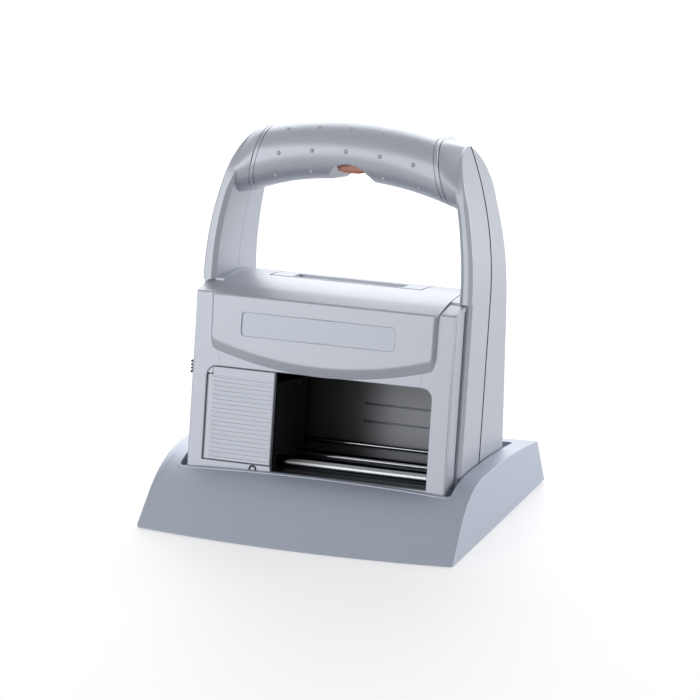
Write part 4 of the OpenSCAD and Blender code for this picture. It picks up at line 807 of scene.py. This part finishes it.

# Seam shade
# A dark strip of painted shade that lies between the two handle halves, a little below the posts' outer
# faces.
# It stands for the shadow at the bottom of the seam.
SHADE_TOP, SHADE_LOW = 0.15, 1.6
shade_out, shade_in = between(SHADE_TOP / thick), between(SHADE_LOW / thick)
shade_edges = ((shade_out, -SEAM), (shade_out, SEAM), (shade_in, SEAM), (shade_in, -SEAM))
seam_shade_strip = shape("seam_shade_strip", *[
    closed_tube([docked(side * x, SEAM_D + off, h) for (x, h), off in shade_edges], [0.02] * 4, 1)
    for side in (1, -1)])
eased(seam_shade_strip, black_abs_and_seam_shade)
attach(seam_shade_strip, "printer")

# Grip sleeve
# A silver ABS sleeve pushed over the arch of the grip, longer below than above, with a ring line near
# each end and a scallop under its middle that opens to the trigger.
SLEEVE_TOP_X, SLEEVE_LOW_X, SLEEVE_HALF, SLEEVE_T, TOP_GAP = 43.7, 50.4, 47.0, 2.5, 0.02
RING_AT, RING_DEEP, END_ROLL = (2.05, 2.55), 0.35, 0.25
SCALLOP_X, SCALLOP_H, SCALLOP_R = 0.5, 161.1, 12.4
SLOT_HALF, SLOT_D = 7.4, (21.4, 49.6)
top_reach = np.arcsin(SLEEVE_TOP_X / (ARCH_R + GRIP_R))
low_reach = np.arcsin(SLEEVE_LOW_X / (ARCH_R - GRIP_R))
end_steps = np.array([0, END_ROLL, *[at + o for at in RING_AT for o in (-0.05, 0.05)]])
end_at = 1 - end_steps / SLEEVE_HALF
along = np.unique(np.concatenate([np.linspace(-1, 1, 90), np.linspace(-0.3, 0.33, 70), end_at, -end_at]))
from_end = (1 - np.abs(along)) * SLEEVE_HALF
in_ring = (from_end > RING_AT[0]) & (from_end < RING_AT[1])
sunk = np.where(from_end < 0.1, END_ROLL, RING_DEEP * in_ring)


def on_arch(radius, turn, d):
    """A line along the arch at a radius from its centre, at given turns from the middle, and a depth."""
    return np.stack([radius * np.sin(turn), d + 0 * turn, ARCH_C[1] + radius * np.cos(turn)], -1)


sleeve_d = (GRIP_D[0] + sunk, GRIP_D[1] - sunk)
top_line = [on_arch(ARCH_R + GRIP_R - TOP_GAP - sunk, along * top_reach, d) for d in sleeve_d]
low_line = [on_arch(ARCH_R - GRIP_R + sunk, along * low_reach, d) for d in sleeve_d]
oval = rounded([top_line[0], low_line[0], low_line[1], top_line[1]], [GRIP_R] * 4, 16, closed=True)
scallop = SCALLOP_R ** 2 - (oval[..., 0] - SCALLOP_X) ** 2
scallop_h = SCALLOP_H + np.sqrt(np.maximum(scallop, 0))
oval[..., 2] = np.where(scallop > 0, np.maximum(oval[..., 2], scallop_h), oval[..., 2])
# the trigger's slot is left open: the quads of the lower side whose middles lie in it
after = np.roll(oval, -1, 0)
middle_x = (oval[:, 1:, 0] + oval[:, :-1, 0]) / 2
middle_d, middle_h = (after + oval)[:, 1:, 1] / 2, (after + oval)[:, 1:, 2] / 2
keep = ~((np.abs(middle_x - SCALLOP_X) < SLOT_HALF) & (middle_d > SLOT_D[0]) & (middle_d < SLOT_D[1])
         & (middle_h < GRIP_H - 2))
grip_sleeve = shape("grip_sleeve_skin", (looped(docked(*np.moveaxis(oval, -1, 0))), keep))
walled(grip_sleeve, SLEEVE_T)
eased(grip_sleeve, silver)
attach(grip_sleeve, "printer")
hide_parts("grip_sleeve")

# Grip nubs
# Three rows of small domes along the sleeve's front, moulded with it in silver ABS, for a firm hold.
# The lower row has none in its middle, where the scallop is.
NUB_R, NUB_PROUD, NUB_SINK = 1.15, 0.75, 0.35
# each row's turn round the grip and its step along the arch, in degrees
NUB_ROWS = (52, 5.05), (0, 5.73), (-48, 6.55)
nub_row, nub_step, nub_at = np.array([(row, step, i) for row, step in NUB_ROWS
                                      for i in range(-2, 3) if row >= 0 or i]).T
row_turn, at_turn = np.radians(nub_row)[:, None, None], np.radians(nub_at * nub_step)[:, None, None]
out_way = np.linspace(0, 1, 9)[:, None]
round_way = np.linspace(0, 2 * np.pi, 21)
dome = GRIP_R - NUB_SINK + (NUB_PROUD + NUB_SINK) * np.sqrt(1 - out_way ** 2)
across_way, up_way = NUB_R * out_way * np.cos(round_way), NUB_R * out_way * np.sin(round_way)
radial = ARCH_R + dome * np.sin(row_turn) + up_way * np.cos(row_turn)
nub_d = GRIP_D[0] + GRIP_R - dome * np.cos(row_turn) + up_way * np.sin(row_turn)
nub_x = radial * np.sin(at_turn) + across_way * np.cos(at_turn)
nub_h = ARCH_C[1] + radial * np.cos(at_turn) - across_way * np.sin(at_turn)
nubs = shape("grip_nubs", *docked(nub_x, nub_d, nub_h))
eased(nubs, silver)
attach(nubs, "printer")

# Trigger
# A glossy salmon red key of polycarbonate under the grip, moulded in one piece with its flange. The
# flange stays inside the grip's core, and a spring presses it down.
KEY_X, KEY_HALF, KEY_D = 0.5, 7.0, (22.0, 49.0)
KEY_LOW, KEY_SIDE, KEY_TOP = 169.1, 170.0, 172.7
FLANGE_X, FLANGE_D, FLANGE_LOW = 12.0, (26.0, 49.0), 170.7
end_d, end_inset = np.array([0, 0.2, 0.9]), np.array([1.0, 0.5, 0.0])
key_d = np.concatenate([KEY_D[0] + end_d, KEY_D[1] - end_d[::-1]])
inset = np.concatenate([end_inset, end_inset[::-1]])
# corners of the key's section: share of its half width, height, and whether they draw in or up at its ends
key_corners = ((-1, KEY_TOP, 1, 0), (-1, KEY_SIDE, 1, 1), (-0.5, KEY_LOW, 0, 1),
               (0.5, KEY_LOW, 0, 1), (1, KEY_SIDE, 1, 1), (1, KEY_TOP, 1, 0))
key = closed_tube([docked(KEY_X + s * (KEY_HALF - inset * draws_in), key_d, h + inset * draws_up)
                   for s, h, draws_in, draws_up in key_corners], [0.3, 0.8, 1.5, 1.5, 0.8, 0.3], 5)
flange_corners = (-1, FLANGE_LOW), (-1, KEY_TOP), (1, KEY_TOP), (1, FLANGE_LOW)
flange = capped(np.stack([docked(s * FLANGE_X, FLANGE_D, h) for s, h in flange_corners]))
trigger_button = shape("trigger_key", key, flange)
# polycarbonate: a clear gloss over a faintly clouded red
salmon, tree, shader, place = new_material("salmon_polycarbonate")
clouded(tree, shader, place, 3, "#c06a52", "#d08870")
fill(shader, Roughness=0.28)
eased(trigger_button, salmon)
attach(trigger_button, "trigger")
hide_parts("trigger_button")


# Pieces kept from the frame
# The print engine, battery, boards, contacts, switches, screws and base plate stand inside or under the
# housings. They are moulded, stamped, turned or plated, keep their own solids, and get their finishes.
def moulded(name, dark, light, roughness, grain_mm, depth_mm, metallic=0.0):
    """Moulded, sheet or turned material: two near tones in soft clouds, nine times as wide as its grain,
    and a fine grain in its gloss and bump."""
    material, tree, shader, place = new_material(name)
    clouded(tree, shader, place, 9 * grain_mm, dark, light, detail=3.0)
    fill(shader, Metallic=metallic)
    grained(tree, shader, place, roughness, grain_mm, depth_mm, spread=0.06)
    return material


# each slot's finish: two tones, roughness, grain and its depth in millimetres, and 1 for a metal
finishes = {
    # moulded ABS: an even satin with faint, soft lights
    "dark_plastic": moulded("moulded_dark_grey_abs", "#33363b", "#3f4247", 0.5, 0.7, 0.02),
    "black_plastic": moulded("moulded_black_abs", "#141518", "#1e2023", 0.42, 0.6, 0.02),
    "latch_plastic": moulded("moulded_green_abs", "#2f6d5e", "#3a8070", 0.4, 0.6, 0.015),
    # rubber: nearly no gloss
    "rubber": moulded("soft_black_rubber", "#17181a", "#222427", 0.75, 0.8, 0.03),
    # zinc plating: a grey metal with a blurred mirror
    "steel": moulded("zinc_plated_steel", "#9ea2a6", "#b4b8bc", 0.32, 0.5, 0.01, 1.0),
    # paint on sheet steel: a dull black skin
    "plate_steel": moulded("black_painted_sheet_steel", "#17181a", "#1f2023", 0.5, 0.9, 0.02),
    # ground and polished rods: sharp bright lines along their length
    "rod_steel": moulded("ground_and_polished_steel", "#85878b", "#94969a", 0.12, 0.3, 0.002, 1.0),
    # gilding: a clear warm yellow
    "brass": moulded("gilded_brass", "#c9a250", "#d8b465", 0.25, 0.3, 0.004, 1.0),
    # sintered bronze: a brown metal dulled by its pores
    "bronze": moulded("sintered_bronze", "#8d6a3e", "#a98350", 0.45, 0.25, 0.02, 1.0),
    # solder mask: a thin green gloss
    "board": moulded("green_solder_mask", "#1d4f31", "#256038", 0.35, 0.8, 0.01),
    # shrink wrap: a blue gloss with slight waves
    "battery_wrap": moulded("blue_shrink_wrap", "#2b4f7c", "#38618f", 0.3, 1.2, 0.03),
}
for part in frame["record"]["subparts"]:
    if part["material_slot"] in finishes:
        eased(frame["nodes"][part["node"]], finishes[part["material_slot"]])


def painted_shade_to_left(material, left_mm, right_mm, shade_colour):
    """Paints shade into a finish: its colour darkens smoothly from a place at the right to a place at the
    left, near the carriage's rest, where the shadow lies."""
    tree = material.node_tree
    shader = tree.nodes["Principled BSDF"]
    unshaded = shader.inputs["Base Color"].links[0].from_socket
    across = add(tree, "ShaderNodeSeparateXYZ", Vector=add(tree, "ShaderNodeTexCoord").outputs["Object"])
    shade_share = add(tree, "ShaderNodeMapRange", interpolation_type="SMOOTHSTEP", Value=across.outputs["X"],
               From_Min=left_mm * MM, From_Max=right_mm * MM)
    tone = add(tree, "ShaderNodeMix", data_type="RGBA", Factor=shade_share.outputs[0], _6=linear(shade_colour), _7=unshaded)
    fill(shader, Base_Color=tone.outputs[2])


# the back panel is a lighter moulding than the other dark pieces, with painted shade: pale at the right,
# darker at the left
panel_grey = moulded("moulded_light_grey_abs", "#c2c6cd", "#cccfd6", 0.5, 0.7, 0.02)
painted_shade_to_left(panel_grey, left_mm=-4, right_mm=22, shade_colour="#1c1c1f")
# painted shade on the polished rods as well: darker towards their left ends
painted_shade_to_left(finishes["rod_steel"], left_mm=-26, right_mm=10, shade_colour="#232325")
for slot in frame["nodes"]["chassis_back_panel"].material_slots:
    slot.material = panel_grey

# Trigger spring
# A coil of steel wire inside the grip, wound on a mandrel. It stands on the key's flange and is held
# by the switch above it, and is drawn at its length with the key at rest.
SPRING_D, SPRING_H, SPRING_R, WIRE_R, TURNS = 36.0, (172.75, 177.95), 2.65, 0.33, 4.5
wind = np.linspace(0, 1, 145)
wire = np.linspace(0, 2 * np.pi, 9)[:-1, None]
coil_r = SPRING_R + WIRE_R * np.cos(wire)
coil_h = SPRING_H[0] + WIRE_R + (SPRING_H[1] - SPRING_H[0] - 2 * WIRE_R) * wind + WIRE_R * np.sin(wire)
coil_turn = 2 * np.pi * TURNS * wind
trigger_spring = shape("trigger_spring_coil", capped(docked(
    coil_r * np.cos(coil_turn), SPRING_D + coil_r * np.sin(coil_turn), coil_h)))
eased(trigger_spring, finishes["steel"])
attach(trigger_spring, "printer")
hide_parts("trigger_spring")
spring_top = docked(0, SPRING_D, SPRING_H[1]) * MM
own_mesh(trigger_spring)
